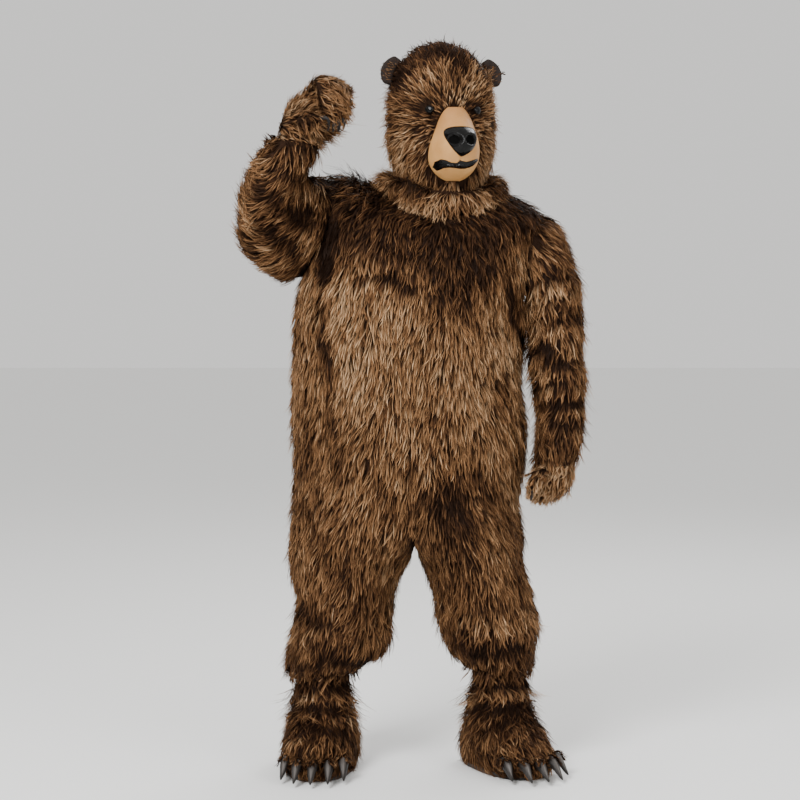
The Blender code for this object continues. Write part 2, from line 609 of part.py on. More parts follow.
def bib():
    """The fur collar of the mask: on the suit's shoulders below, and closed on the jaw above."""
    outer, inner = ([], [], []), ([], [], [])
    for i in range(BIB_STEPS):
        share = i / BIB_STEPS
        side, turn = (LEFT, share * 2) if share <= 0.5 else (RIGHT, 2 - share * 2)
        point, out = suit_plain(side, BIB_ROW, turn), suit_out(side, BIB_ROW, turn)
        if turn in (0.0, 1.0):
            out = unit(out * (0, 1, 1))
        outer[0].append(point + out * (BIB_LIFT + BIB_FUR))
        inner[0].append(point + out * BIB_LIFT)
        angle = 2 * math.pi * (i - 1) / BIB_STEPS     # the head's turn is most of a step
        jaw = mask_local(0, angle)
        wide, under, up, low = RUFF_FRONT + (RUFF_SIDE - RUFF_FRONT) * min(2 * (1 - math.cos(angle)), 1)
        outer[1].append(head_place(jaw * (wide, wide, 1) + (0, 0, up)))
        inner[1].append(head_place(jaw * (under, under, 1) + (0, 0, low)))
        outer[2].append(head_place(jaw - (0, 0, SEAM)))
        inner[2].append(head_place(mask_local(0, angle, FUR) - (0, 0, SEAM)))
    return wall("mask_bib", outer, inner, "light_fur", tube=True)


def muzzle_arch(share):
    """Height of the muzzle's cross-section, from 1 at its middle to 0 at its sides."""
    return max(1 - abs(share) ** 2.6, 0.0) ** 0.62


def muzzle(face):
    columns = 12
    outer, inner = [], []
    last = len(MUZZLE) - 1
    for j, (z, half, reach) in enumerate(MUZZLE):
        near, far = [], []
        inner_z = z - 1.4 * LATEX if j == 0 else z + LATEX if j == last else z
        for i in range(columns + 1):
            share = math.sin(math.pi / 2 * (2 * i / columns - 1))
            for ring, inside, height in ((near, 0.0, z), (far, LATEX, inner_z)):
                x = (half - inside) * share
                y = front_y(face, x, height, MUZZLE_OFF)
                arch = max(reach - inside, 0.0) * muzzle_arch(share)
                ring.append(head_place((x, y - arch, height)))
        outer.append(near)
        inner.append(far)
    return wall("muzzle", outer, inner, "tan_latex")


def nose(snout):
    """A glossy pad on the muzzle's front, wide above and narrow below, with two nostrils."""
    steps, rings = 20, 6
    outer, inner = [], []
    for j in range(rings):
        share = 1 - j / rings
        near, far = [], []
        for i in range(steps):
            angle = 2 * math.pi * i / steps
            x = NOSE_HALF_WIDTH * share * math.sin(angle) * (0.76 + 0.28 * math.cos(angle))
            up = NOSE_HALF_HEIGHT * share * math.cos(angle) * (0.90 - 0.13 * math.cos(2 * angle))
            base = front_y(snout, x, NOSE_AT + up, NOSE_OFF)
            bulge = 0.002 + NOSE_BULGE * math.sqrt(max(1 - share ** 2.4, 0.0))
            for side in (RIGHT, LEFT):
                away = math.hypot((x - side * NOSTRIL[0]) / 1.15, up - NOSTRIL[1]) / NOSTRIL[2]
                bulge -= NOSTRIL[3] * math.exp(-away ** 4) * min(1.0, (1 - share) * 5)
            near.append(head_place((x, base - max(bulge, 0.002), NOSE_AT + up)))
            far.append(head_place((x, base, NOSE_AT + up)))
        outer.append(near)
        inner.append(far)
    base = front_y(snout, 0, NOSE_AT, NOSE_OFF)
    tip = (head_place((0, base - 0.002 - NOSE_BULGE, NOSE_AT)), head_place((0, base, NOSE_AT)))
    return wall("nose", outer, inner, "black_gloss", tube=True, tip=tip)


def lips(snout):
    """The dark lower lip and the slit above it, along the muzzle's front."""
    columns, rows = 20, 4
    shares, uppers, lowers = zip(*LIPS)
    outer, inner = [], []
    for j in range(rows + 1):
        near, far = [], []
        for i in range(columns + 1):
            share = 2 * i / columns - 1
            x = MOUTH_HALF_WIDTH * share
            upper, lower = (float(np.interp(abs(share), shares, edge)) for edge in (uppers, lowers))
            z = MOUTH_Z + upper + (lower - upper) * j / rows
            base = front_y(snout, x, z, NOSE_OFF)
            bulge = 0.0012 + LIP_BULGE * math.sin(math.pi * min(j / rows, 1)) * (1 - share * share) ** 0.5
            near.append(head_place((x, base - bulge, z)))
            far.append(head_place((x, base, z)))
        outer.append(near)
        inner.append(far)
    return wall("mouth_lips", outer, inner, "black_gloss")


def eye(name, side, face):
    steps, rings = 10, 3
    outer, inner = [], []
    for j in range(rings):
        share = math.cos(math.pi / 2 * j / rings)
        near, far = [], []
        for i in range(steps):
            angle = 2 * math.pi * i / steps
            x = side * EYE_AT[0] + EYE_RADIUS * share * math.cos(angle)
            z = EYE_AT[1] + EYE_RADIUS * share * math.sin(angle)
            base = front_y(face, x, z, EYE_OFF)
            near.append(head_place((x, base - 0.001 - EYE_BULGE * math.sqrt(1 - share * share), z)))
            far.append(head_place((x, base, z)))
        outer.append(near)
        inner.append(far)
    x, z = side * EYE_AT[0], EYE_AT[1]
    base = front_y(face, x, z, EYE_OFF)
    tip = (head_place((x, base - 0.001 - EYE_BULGE, z)), head_place((x, base, z)))
    return wall(name, outer, inner, "black_gloss", tube=True, tip=tip)


def ear(name, side):
    """A cupped round flap that stands out from the side of the crown and faces forward."""
    columns, rows = 8, 4
    outer, inner = [], []
    for j in range(rows + 1):
        near, far = [], []
        for i in range(columns + 1):
            across = i / columns
            z = EAR_Z[0] + (EAR_Z[1] - EAR_Z[0]) * across
            root = mask_local(mask_row_at(z), side * math.pi / 2)
            below = mask_local(mask_row_at(z - 0.004), side * math.pi / 2)
            above = mask_local(mask_row_at(z + 0.004), side * math.pi / 2)
            rise = unit(above - below)
            out = unit(np.array((side * rise[2], 0, abs(rise[0]))))
            tall = EAR_HEIGHT * math.sin(math.pi * (0.12 + 0.76 * across)) ** 0.6
            cup = EAR_CUP * math.sin(math.pi * across) * (1 - (j / rows) ** 2) ** 0.5
            point = root + out * (SEAT * 2 + tall * j / rows)
            slim = 1 - 0.45 * j / rows
            near.append(head_place(point + (0, cup * 0.6 - EAR_THICK / 2 * slim, 0)))
            far.append(head_place(point + (0, cup + EAR_THICK / 2 * slim, 0)))
        outer.append(near)
        inner.append(far)
    return wall(name, outer, inner, "brown_fur")


def mitt_ring(side, place, shrink=0.0):
    """One closed ring of a mitt. The first half of its points is the back, the rest the palm."""
    x, y, z, wide, thick = smooth_row(MITT[side], place)
    last = len(MITT[side]) - 1
    ahead = smooth_row(MITT[side], min(place + 0.1, last))[:3]
    behind = smooth_row(MITT[side], max(place - 0.1, 0))[:3]
    along = unit(ahead - behind)
    across = np.array(MITT_ACROSS[side])
    across = unit(across - np.dot(across, along) * along)
    out = np.cross(along, across) * (1 if side == RIGHT else -1)
    ring = []
    for i in range(MITT_STEPS + 1):
        angle = 2 * math.pi * i / MITT_STEPS
        ring.append(
            np.array((x, y, z))
            + across * (wide - shrink) * math.cos(angle)
            + out * (thick - shrink) * math.sin(angle)
        )
    return ring, along, out


def mitt_cuff(side, shrink):
    """The mitt's wrist, just inside the sleeve's cuff: rings on the sleeve's inner face, then one past its end."""
    last = len(SLEEVE[side])
    rings = []
    for place in (last - 1, last):
        ring = []
        for i in range(MITT_STEPS + 1):
            angle = 2 * math.pi * i / MITT_STEPS
            ring.append(sleeve_point(side, place, angle, FUR + SEAT + shrink))
        rings.append(ring)
    ahead = unit(np.cross(rings[1][0] - rings[1][6], rings[1][3] - rings[1][9]))
    if np.dot(ahead, np.array(MITT[side][1][:3]) - np.mean(rings[1][:-1], axis=0)) < 0:
        ahead = -ahead
    rings.append([point + PAST_CUFF * ahead for point in rings[1]])
    return rings


def matched(ring, to):
    """The ring's points, started and turned so that they lie nearest to another ring's."""
    loop = ring[:-1]
    best = None
    for order in (loop, loop[::-1]):
        for shift in range(len(order)):
            moved = order[shift:] + order[:shift]
            cost = sum(np.linalg.norm(a - b) for a, b in zip(moved, to))
            if best is None or cost < best[0]:
                best = (cost, moved)
    return best[1] + best[1][:1]


def mitt(side, word):
    places = range(1, len(MITT[side]))
    hand_outer = [mitt_ring(side, place)[0] for place in places]
    hand_inner = [mitt_ring(side, place, MITT_FUR)[0] for place in places]
    cuff_outer = [matched(ring, hand_outer[0]) for ring in mitt_cuff(side, 0.0)]
    cuff_inner = [matched(ring, hand_inner[0]) for ring in mitt_cuff(side, MITT_FUR)]
    outer, inner = cuff_outer + hand_outer, cuff_inner + hand_inner
    _, along, out = mitt_ring(side, places[-1])
    end = np.array(MITT[side][-1][:3])
    half = MITT_STEPS // 2
    made = []
    for piece, first, way in (("back", 0, 1), ("palm", half, -1)):
        near, far = [], []
        for over, under in zip(outer, inner):
            apart = way * SEAM / 2 * unit(over[half // 2] - over[half + half // 2])
            for grid, ring in ((near, over), (far, under)):
                span = ring[first:first + half + 1]
                grid.append([p + apart if i in (0, half) else p for i, p in enumerate(span)])
        shift = way * SEAM / 2 * out
        tip = (end + along * 0.012 + shift, end + along * 0.002 + shift)
        made.append(wall(f"mitt_{word}_{piece}", near, far, "brown_fur", tip=tip))
    return made


def round_ring(middle, along, radius, steps, squash=1.0):
    """A ring of points about a direction, flattened across its height."""
    side = unit(np.cross(along, (0.12, 0.31, 0.94)))
    top = np.cross(side, along)
    return [
        middle + radius * (math.cos(2 * math.pi * i / steps) * side
                           + squash * math.sin(2 * math.pi * i / steps) * top)
        for i in range(steps)
    ]


def thumb(side, word, palm):
    path = np.array(THUMB[side])
    rings = []
    for k, radius in enumerate(THUMB_RADIUS):
        along = unit(path[min(k + 1, len(path) - 1)] - path[max(k - 1, 0)])
        rings.append(round_ring(path[k], along, radius, 10))
    rings[0], root = seated(palm, rings[0])
    return plug(f"mitt_{word}_thumb", rings, "brown_fur", root)


def just_off(skin, point):
    """The point just outside a piece that is nearest to a point."""
    place, out, _, _ = skin.find_nearest(tuple(point))
    return np.array(place) + SEAT * np.array(out)


def lifted(skin, ring, middle, way):
    """The ring and its middle, moved along a direction until the faces between them clear a piece."""
    for _ in range(40):
        samples = [middle * (1 - share) + point * share for point in ring for share in (0, 0.3, 0.6, 0.8, 1)]
        samples += [(ring[k - 1] * (1 - share) + ring[k] * share) for k in range(len(ring)) for share in (0.3, 0.7)]
        nearest = [skin.find_nearest(tuple(sample)) for sample in samples]
        clear = min(np.dot(sample - np.array(at[0]), np.array(at[1])) for sample, at in zip(samples, nearest))
        if clear > SEAM:
            break
        ring, middle = [point + SEAM * way for point in ring], middle + SEAM * way
    return ring, middle


def seated(skin, ring):
    """A ring carried on to a piece, with its middle, so that what it ends follows that piece."""
    middle = just_off(skin, np.mean(ring, axis=0))
    out = np.array(skin.find_nearest(tuple(middle))[1])
    return lifted(skin, [just_off(skin, point) for point in ring], middle, out)


def claw(name, root, along, down, radius, length, carrier, steps=6):
    """A curved, pointed claw. root is its root's middle, along its way out, down the way that it bends."""
    rings = []
    for k in range(5):
        share = k / 4
        middle = root + along * length * share + down * length * 0.34 * share ** 2
        ahead = unit(along + down * 0.68 * share)
        rings.append(round_ring(middle, ahead, radius * (1 - share) ** 0.75 + 0.0012, steps))
    rings[0], root_point = seated(carrier, rings[0])
    return plug(name, rings, "claw_plastic", root_point)


def mitt_claws(side, word, back, tip_of_thumb):
    """Four claws on the curled fingertips and one on the thumb."""
    ring, along, out = mitt_ring(side, len(MITT[side]) - 1)
    end = np.array(MITT[side][-1][:3])
    across = unit(ring[0] - end)
    wide = MITT[side][-1][3]
    for number, share in enumerate((-0.60, -0.20, 0.20, 0.60), 1):
        root = end + across * wide * share + along * (0.012 - 0.012 * share * share) + out * 0.008
        claw(f"mitt_{word}_claw_{number}", root, unit(along - out * 0.15), -out, 0.0040, 0.028, back)
    path = np.array(THUMB[side])
    along = unit(path[-1] - path[-2])
    down = np.array((0, 0, -1.0))
    claw(f"mitt_{word}_claw_5", path[-1] + along * 0.002, along, down, 0.0050, 0.020, tip_of_thumb)


def foot_place(side, point):
    x, y, z = point
    c, s = math.cos(FOOT_TURN[side]), math.sin(FOOT_TURN[side])
    return np.array((ANKLE[side][0] + c * x - s * y, ANKLE[side][1] + s * x + c * y, FLOOR + SOLE + SEAM + z))


def foot_local(row, angle, inside=0.0):
    """A point of a foot in its own frame. angle is 0 at the toes."""
    z, half, toe, heel = smooth_row(FOOT, row)
    square = 0.80 if row < 4 else 1.0
    s, c = math.sin(angle), math.cos(angle)
    reach = toe if c > 0 else heel
    return np.array((
        (half - inside) * math.copysign(abs(s) ** square, s),
        -(reach - inside) * math.copysign(abs(c) ** square, c),
        z,
    ))


def foot(side, word):
    outer, inner = [], []
    for row in range(len(FOOT)):
        angles = [2 * math.pi * i / FOOT_STEPS for i in range(FOOT_STEPS)]
        outer.append([foot_place(side, foot_local(row, angle)) for angle in angles])
        inner.append([foot_place(side, foot_local(row, angle, FUR)) for angle in angles])
    upper = wall(f"foot_{word}_upper", outer, inner, "brown_fur", tube=True)
    under = []
    for level in (-SEAM, -SEAM - SOLE):
        ring = []
        for i in range(FOOT_STEPS):
            point = foot_local(0, 2 * math.pi * i / FOOT_STEPS, 0.004)
            ring.append(foot_place(side, (point[0], point[1], level)))
        under.append(ring)
    plug(f"foot_{word}_sole", under, "sole_rubber")
    for number, across in enumerate(CLAW_SPREAD, 1):
        foot_claw(f"foot_{word}_claw_{number}", side, across, skin_of(upper))


def foot_claw(name, side, across, toes):
    """A claw whose root follows the toes. It points forward and outward, and bends down to above the floor."""
    steps, rings = 8, []
    turn = CLAW_TURN * across / CLAW_SPREAD[-1]
    ahead, aside = np.array((math.sin(turn), -math.cos(turn))), np.array((math.cos(turn), math.sin(turn)))
    heart = np.array((across * CLAW_HEART[0], CLAW_HEART[1]))

    def reach(shift, z):
        """How far ahead of the claw's heart the toes end."""
        start, end = (foot_place(side, (*(heart + aside * shift + ahead * far), z)) for far in (0.3, 0))
        return 0.3 - np.linalg.norm(onto(toes, start, end - start, SEAT) - start)

    root = reach(0, CLAW_ROOT_Z)
    for k in range(5):
        share = k / 4
        radius = CLAW_RADIUS * (1 - share) ** 0.7 + 0.0012
        ring = []
        for i in range(steps):
            angle = 2 * math.pi * i / steps
            shift, z = radius * math.cos(angle), CLAW_ROOT_Z + 1.15 * radius * math.sin(angle)
            far = reach(shift, z) * (1 - share) + root * share + CLAW_LENGTH * share
            x, y = heart + aside * shift + ahead * far
            ring.append(foot_place(side, (x, y, z + claw_drop(share))))
        rings.append(ring)
    forward = foot_place(side, (*ahead, 0)) - foot_place(side, (0, 0, 0))
    middle = foot_place(side, (*(heart + ahead * root), CLAW_ROOT_Z))
    rings[0], middle = lifted(toes, rings[0], middle, forward)
    plug(name, rings, "claw_plastic", middle)


def claw_drop(share):
    rise = 0.010 * math.sin(math.pi * min(share * 1.4, 1.0))
    return rise - (CLAW_ROOT_Z - 0.003) * share ** 2


def build():
    for thing in list(bpy.data.objects):
        bpy.data.objects.remove(thing)
    face = skin_of(mask_half("mask_front", True))
    mask_half("mask_back", False)
    bib()
    snout = skin_of(muzzle(face))
    nose(snout)
    lips(snout)
    back_zip()
    for side, word in ((RIGHT, "right"), (LEFT, "left")):
        panel(f"suit_front_{word}", side, True)
        panel(f"suit_back_{word}", side, False)
        sleeve(f"sleeve_{word}", side)
        back, palm = (skin_of(piece) for piece in mitt(side, word))
        tip_of_thumb = skin_of(thumb(side, word, palm))
        mitt_claws(side, word, back, tip_of_thumb)
        foot(side, word)
        eye(f"eye_{word}", side, face)
        ear(f"ear_{word}", side)


build()
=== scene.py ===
# A bear costume: a long-pile fur suit with a closed back zip, an over-head mask with a latex muzzle,
# and mitts and feet with claws. It stands in its worn pose with nobody in it.
# Metres, +Z up, the front to -Y, the wearer's left to +X.
import math

import bmesh
import bpy
import numpy as np
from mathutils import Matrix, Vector
from mathutils.bvhtree import BVHTree


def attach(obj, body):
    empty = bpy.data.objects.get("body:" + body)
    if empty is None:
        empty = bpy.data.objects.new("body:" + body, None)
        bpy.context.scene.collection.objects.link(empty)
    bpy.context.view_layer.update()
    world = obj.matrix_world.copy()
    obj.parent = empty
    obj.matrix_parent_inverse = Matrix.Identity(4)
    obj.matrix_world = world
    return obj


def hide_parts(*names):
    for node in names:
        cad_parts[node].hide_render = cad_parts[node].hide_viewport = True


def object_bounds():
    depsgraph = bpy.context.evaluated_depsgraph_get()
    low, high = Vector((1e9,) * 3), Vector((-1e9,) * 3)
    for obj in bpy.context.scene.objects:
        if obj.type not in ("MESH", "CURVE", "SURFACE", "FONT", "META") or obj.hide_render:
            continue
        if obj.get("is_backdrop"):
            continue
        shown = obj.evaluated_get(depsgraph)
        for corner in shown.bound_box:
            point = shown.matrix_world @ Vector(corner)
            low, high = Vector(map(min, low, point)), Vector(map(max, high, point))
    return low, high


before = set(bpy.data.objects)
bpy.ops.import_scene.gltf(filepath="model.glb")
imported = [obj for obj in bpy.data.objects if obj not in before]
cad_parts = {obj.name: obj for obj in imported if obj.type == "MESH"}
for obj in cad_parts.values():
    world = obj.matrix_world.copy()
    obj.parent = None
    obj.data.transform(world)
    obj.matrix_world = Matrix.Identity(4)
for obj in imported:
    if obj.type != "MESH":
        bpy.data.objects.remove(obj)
cad_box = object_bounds()

# The fur fabric that everything soft is cut from: a knitted backing that carries a long acrylic pile,
# which lies down along its nap. The backing is a thin closed shell on the hollow form of each panel,
# and the pile stands on the side of it that shows.


class Wire:
    """An output in a material's node tree. Sums written on wires add Math nodes to the tree."""

    def __init__(self, tree, output=None):
        self.tree, self.output = tree, output

    def add(self, kind, settings, inputs, output=0):
        node = self.tree.nodes.new("ShaderNode" + kind)
        for name, value in settings.items():
            if name == "stops":
                stops = node.color_ramp.elements
                while len(stops) < len(value):
                    stops.new(1.0)
                for stop, (place, tone) in zip(stops, value):
                    stop.position, stop.color = place, (*tone, 1.0)
            else:
                setattr(node, name, value)
        for name, value in inputs.items():
            socket = node.inputs[name]
            if isinstance(value, Wire):
                self.tree.links.new(value.output, socket)
            else:
                socket.default_value = value
        return Wire(self.tree, node.outputs[output])

    def math(self, operation, first, second):
        return self.add("Math", {"operation": operation}, {0: first, 1: second})

    def __add__(self, other):
        return self.math("ADD", self, other)

    def __sub__(self, other):
        return self.math("SUBTRACT", self, other)

    def __rsub__(self, other):
        return self.math("SUBTRACT", other, self)

    def __mul__(self, other):
        return self.math("MULTIPLY", self, other)

    def __pow__(self, other):
        return self.math("POWER", self, other)

    __radd__, __rmul__ = __add__, __mul__

    def spread(self, low, high, to_low=0.0, to_high=1.0):
        ends = {"From Min": low, "From Max": high, "To Min": to_low, "To Max": to_high}
        return self.add("MapRange", {"clamp": True}, {"Value": self, **ends})

    def mixed(self, first, second):
        """Two colours mixed by this wire."""
        first, second = (x if isinstance(x, Wire) else (*x, 1.0) for x in (first, second))
        return self.add("Mix", {"data_type": "RGBA"}, {0: self, 6: first, 7: second}, 2)

    def bump(self, depth):
        """A normal from this wire as a height, which is depth metres high at 1."""
        return self.add("Bump", {}, {"Height": self, "Distance": depth})

    def place(self):
        """Where a point of the object lies, in metres."""
        return self.add("TexCoord", {}, {}, 3)

    def bake_map(self):
        return self.add("UVMap", {"uv_map": "OFBake"}, {})

    def axis(self, number):
        return self.add("SeparateXYZ", {}, {0: self}, number)

    def noise(self, scale, detail=2.0):
        return self.add("TexNoise", {}, {"Vector": self, "Scale": scale, "Detail": detail})

    def strands(self, across, along, detail):
        """Noise on a bake map, drawn out along it."""
        drawn = self.add("Mapping", {}, {0: self, 3: (across, along, 1.0)})
        inputs = {"Vector": drawn, "Scale": 1.0, "Detail": detail}
        return self.add("TexNoise", {"noise_dimensions": "2D"}, inputs).spread(0.3, 0.7)

    def cells(self, scale, feature="F1"):
        return self.add("TexVoronoi", {"feature": feature}, {"Vector": self, "Scale": scale})


def new_finish(name, **sockets):
    """A material, a wire to build on and a call that sets its shader's sockets."""
    made = bpy.data.materials.new(name)
    made.use_nodes = True
    shader = made.node_tree.nodes["Principled BSDF"]
    wire = Wire(made.node_tree)

    def finish(values):
        for key, value in values.items():
            if isinstance(value, Wire):
                made.node_tree.links.new(value.output, shader.inputs[key])
            else:
                shader.inputs[key].default_value = value
        return made

    finish(sockets)
    return wire, finish


FUR_TONES = (
    (0.0, (0.012, 0.0058, 0.0034)), (0.25, (0.052, 0.023, 0.0105)), (0.5, (0.17, 0.079, 0.033)),
    (0.75, (0.415, 0.212, 0.094)), (1.0, (0.69, 0.44, 0.245)),
)
# The bake map's first axis picks the shade of a lock, its second runs from root to tip.
wire, finish = new_finish("brown_fur_pile", **{"IOR": 1.15, "Specular IOR Level": 0.3})
where = wire.bake_map()
tone = wire.add("ValToRGB", {"stops": FUR_TONES}, {0: where.axis(0)})
streak = where.strands(300.0, 4.0, 2.0)
# lit darkens each hair towards its root, broken by strand streaks: painted shade where the locks shade each
# other.
lit = (where.axis(1).spread(0.02, 0.75) ** 1.3) * (0.32 + 0.68 * streak)
BROWN_FUR = finish({"Base Color": lit.mixed((0.008, 0.0038, 0.0021), tone), "Roughness": 0.68 - 0.16 * streak})

wire, finish = new_finish("knitted_backing", Roughness=0.9, IOR=1.1)
place = wire.place()
knit = place.cells(420.0)
patches = place.noise(30.0)
BACKING = finish({
    "Base Color": patches.mixed((0.009, 0.0045, 0.0026), (0.026, 0.013, 0.0075)),
    "Normal": knit.bump(0.0008),
})


def read(rows, name, kind=float, width=3):
    """One attribute of a mesh's rows, width values for each."""
    found = np.empty(len(rows) * width, kind)
    rows.foreach_get(name, found)
    return found.reshape(-1, width)


def welded(node):
    """A node's points and triangles, with the corners that its facets share joined."""
    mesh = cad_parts[node].data
    mesh.calc_loop_triangles()
    points = read(mesh.vertices, "co")
    _, first, joined = np.unique(points.round(6), axis=0, return_index=True, return_inverse=True)
    triangles = joined.reshape(-1)[read(mesh.loop_triangles, "vertices", int)]
    apart = (triangles != np.roll(triangles, 1, axis=1)).all(1)
    return points[first], triangles[apart]


def unit(vectors):
    return vectors / np.maximum(np.linalg.norm(vectors, axis=-1, keepdims=True), 1e-12)


def facings(points, triangles):
    a, b, c = (points[triangles[:, k]] for k in range(3))
    return np.cross(b - a, c - a) / 2


def corner_normals(points, triangles):
    summed = np.zeros_like(points)
    for k in range(3):
        np.add.at(summed, triangles[:, k], facings(points, triangles))
    return unit(summed)


def skin(points, triangles):
    return BVHTree.FromPolygons(points.tolist(), triangles.tolist())


def joined(parts):
    """Several meshes' points and triangles as one mesh's."""
    points, triangles = zip(*parts)
    begun = np.cumsum([0] + [len(own) for own in points])
    return np.concatenate(points), np.concatenate([own + first for own, first in zip(triangles, begun)])


WHOLE = skin(*joined([welded(node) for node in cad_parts]))
# Ways to look, spread evenly over a sphere on a spiral.
STEPS = np.arange(64) + 0.5
RISE = 1 - 2 * STEPS / len(STEPS)
TURN = STEPS * math.pi * (1 + 5 ** 0.5)
SIGHTS = np.stack([np.cos(TURN) * (1 - RISE ** 2) ** 0.5, np.sin(TURN) * (1 - RISE ** 2) ** 0.5, RISE], 1)
SIGHT_START, SIGHT_LEAN, ENOUGH_SIGHTS = 0.0006, 0.15, 3


def in_sight(points, triangles):
    """Which triangles show from outside: enough straight lines from them meet nothing."""
    ways = unit(facings(points, triangles))
    starts = points[triangles].mean(1) + ways * SIGHT_START
    found = np.zeros(len(triangles), bool)
    for k, (start, way) in enumerate(zip(starts, ways)):
        free = 0
        for sight in SIGHTS[SIGHTS @ way > SIGHT_LEAN]:
            free += WHOLE.ray_cast(start, sight)[0] is None
            if free == ENOUGH_SIGHTS:
                found[k] = True
                break
    return found


def placed(name, data):
    """A new object in the scene."""
    made = bpy.data.objects.new(name, data)
    bpy.context.scene.collection.objects.link(made)
    return made


def new_mesh(name, points, faces, finish, smooth=True):
    mesh = bpy.data.meshes.new(name)
    mesh.from_pydata(points.tolist(), [], [tuple(face) for face in faces])
    mesh.materials.append(finish)
    mesh.polygons.foreach_set("use_smooth", [smooth] * len(mesh.polygons))
    mesh.update()
    return placed(name, mesh)


UNDER = 0.002           # how far under a wall's outer face the search for its inner one starts
MOST_LET_IN, THINNEST = 0.72, 0.004     # the share of a wall that may be let in, and its least thickness


def backing(node, name, pile):
    """A panel's backing: its node's form with the side that shows let in by the depth of the lying pile."""
    points, triangles = welded(node)
    shown = in_sight(points, triangles)
    normals = corner_normals(points, triangles[shown])
    own = skin(points, triangles)
    out = np.unique(triangles[shown])
    let_in = points.copy()
    for k in out:
        hit = own.ray_cast(points[k] - normals[k] * UNDER, -normals[k])
        room = UNDER + hit[3] if hit[0] is not None else pile
        let_in[k] = points[k] - normals[k] * min(pile, MOST_LET_IN * max(room, THINNEST))
    made = new_mesh(name, let_in, triangles, BACKING)
    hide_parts(node)
    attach(made, "root")
    return made, let_in, triangles[shown]


def ease(value, low, high):
    share = np.clip((value - low) / (high - low), 0, 1)
    return share * share * (3 - 2 * share)


def bell(value, middle, wide):
    return np.exp(-((value - middle) / wide) ** 2)


def drift(points, reach, seed):
    """Smooth noise from about -1 to 1 that changes over reach metres."""
    rng = np.random.default_rng(seed)
    waves = unit(rng.normal(size=(9, 3))) * rng.uniform(0.6, 1.5, (9, 1)) * math.pi / reach
    return np.sin(points @ waves.T + rng.uniform(0, 2 * math.pi, 9)).sum(1) / 3.2


def distances(points, spots):
    return np.linalg.norm(points[:, None] - spots, axis=2)


def along_surface(vectors, normals):
    return unit(vectors - (vectors * normals).sum(1, keepdims=True) * normals)


def turned(vectors, normals, angles):
    """Vectors turned about their surface's normals."""
    angles = angles[:, None]
    return vectors * np.cos(angles) + np.cross(normals, vectors) * np.sin(angles)


ROWS = np.array((0.0, 0.34, 0.7, 1.0))  # where a hair's rings lie along it
FLOOR = -1.4635  # no hair hangs lower than the soles stand


def map_on(mesh, places):
    mesh.uv_layers.new(name="OFBake").uv.foreach_set("vector", places.astype(np.float32).ravel())


def ribbons(name, groups):
    """Flat tapering hairs in one mesh. A group's hairs have the rings that it names, the last one the tip."""
    points, corners, starts, places, count = [], [], [], [], 0
    for rings, taper, lines, across, widths, shades in groups:
        lines, hairs, last = lines[:, rings], len(lines), len(rings) - 1
        half = across[:, None] * (np.array(taper)[None, :, None] * widths[:, None, None] / 2)
        sides = np.stack([lines[:, :-1] - half, lines[:, :-1] + half], 2).reshape(hairs, -1, 3)
        size = 2 * last + 1
        quads = sum(((2 * k, 2 * k + 1, 2 * k + 3, 2 * k + 2) for k in range(last - 1)), ())
        order = np.array(quads + (size - 3, size - 2, size - 1))
        begun = len(np.concatenate(corners)) if corners else 0
        points.append(np.concatenate([sides, lines[:, -1:]], 1).reshape(-1, 3))
        corners.append((count + np.arange(hairs)[:, None] * size + order).ravel())
        starts.append((begun + np.arange(hairs)[:, None] * len(order) + 4 * np.arange(last)).ravel())
        side = np.append(np.tile((-1.0, 1.0), last), 0.0)[order] * 0.006
        height = np.append(np.repeat(ROWS[list(rings[:-1])], 2), 1.0)[order] * 0.98 + 0.01
        places.append(np.stack(np.broadcast_arrays(shades[:, None] + side, height), 2).reshape(-1, 2))
        count += hairs * size
    points, corners, starts, places = (np.concatenate(found) for found in (points, corners, starts, places))
    points[:, 2] = np.maximum(points[:, 2], FLOOR)
    mesh = bpy.data.meshes.new(name)
    mesh.vertices.add(len(points))
    mesh.vertices.foreach_set("co", points.astype(np.float32).ravel())
    mesh.loops.add(len(corners))
    mesh.loops.foreach_set("vertex_index", corners.astype(np.int32))
    mesh.polygons.add(len(starts))
    mesh.polygons.foreach_set("loop_start", starts.astype(np.int32))
    mesh.polygons.foreach_set("use_smooth", np.ones(len(starts), bool))
    map_on(mesh, places)
    mesh.materials.append(BROWN_FUR)
    mesh.update(calc_edges=True)
    return placed(name, mesh)


GUARD_SHARE = 0.62  # of the locks; the others are underfur
LAYERS = (0.0, 0.5, 1.0)  # the hairs of a lock, from the lowest to the highest
# For guard hair and for underfur, ring by ring: how far a lock's hairs stand from its middle, and how high they
# rise, as a share of the pile's height.
GATHER = ((1.0, 1.0, 0.75, 0.3), (1.0, 1.0, 0.85, 0.6))
RISES = ((-0.08, 0.74, 1.02, 1.06), (-0.08, 0.6, 0.95, 0.7))
CLING = 0.8  # how far a lock bends towards the form it lies on


def clung(lines, ways, normals, ground):
    """Lines that bend most of the way round the form that they lie on, and where up is along them."""
    ups = np.repeat(normals[:, None], len(ROWS), 1)
    for row in range(1, len(ROWS)):
        for k, way in enumerate(ways):
            near, facing, _, _ = ground.find_nearest(lines[k, row])
            drop = np.array(near) - lines[k, row]
            drop -= way * (drop @ way)
            lines[k, row] += CLING * drop
            ups[k, row] = ups[k, row] * 0.4 + np.array(facing) * 0.6
    return lines, unit(ups)


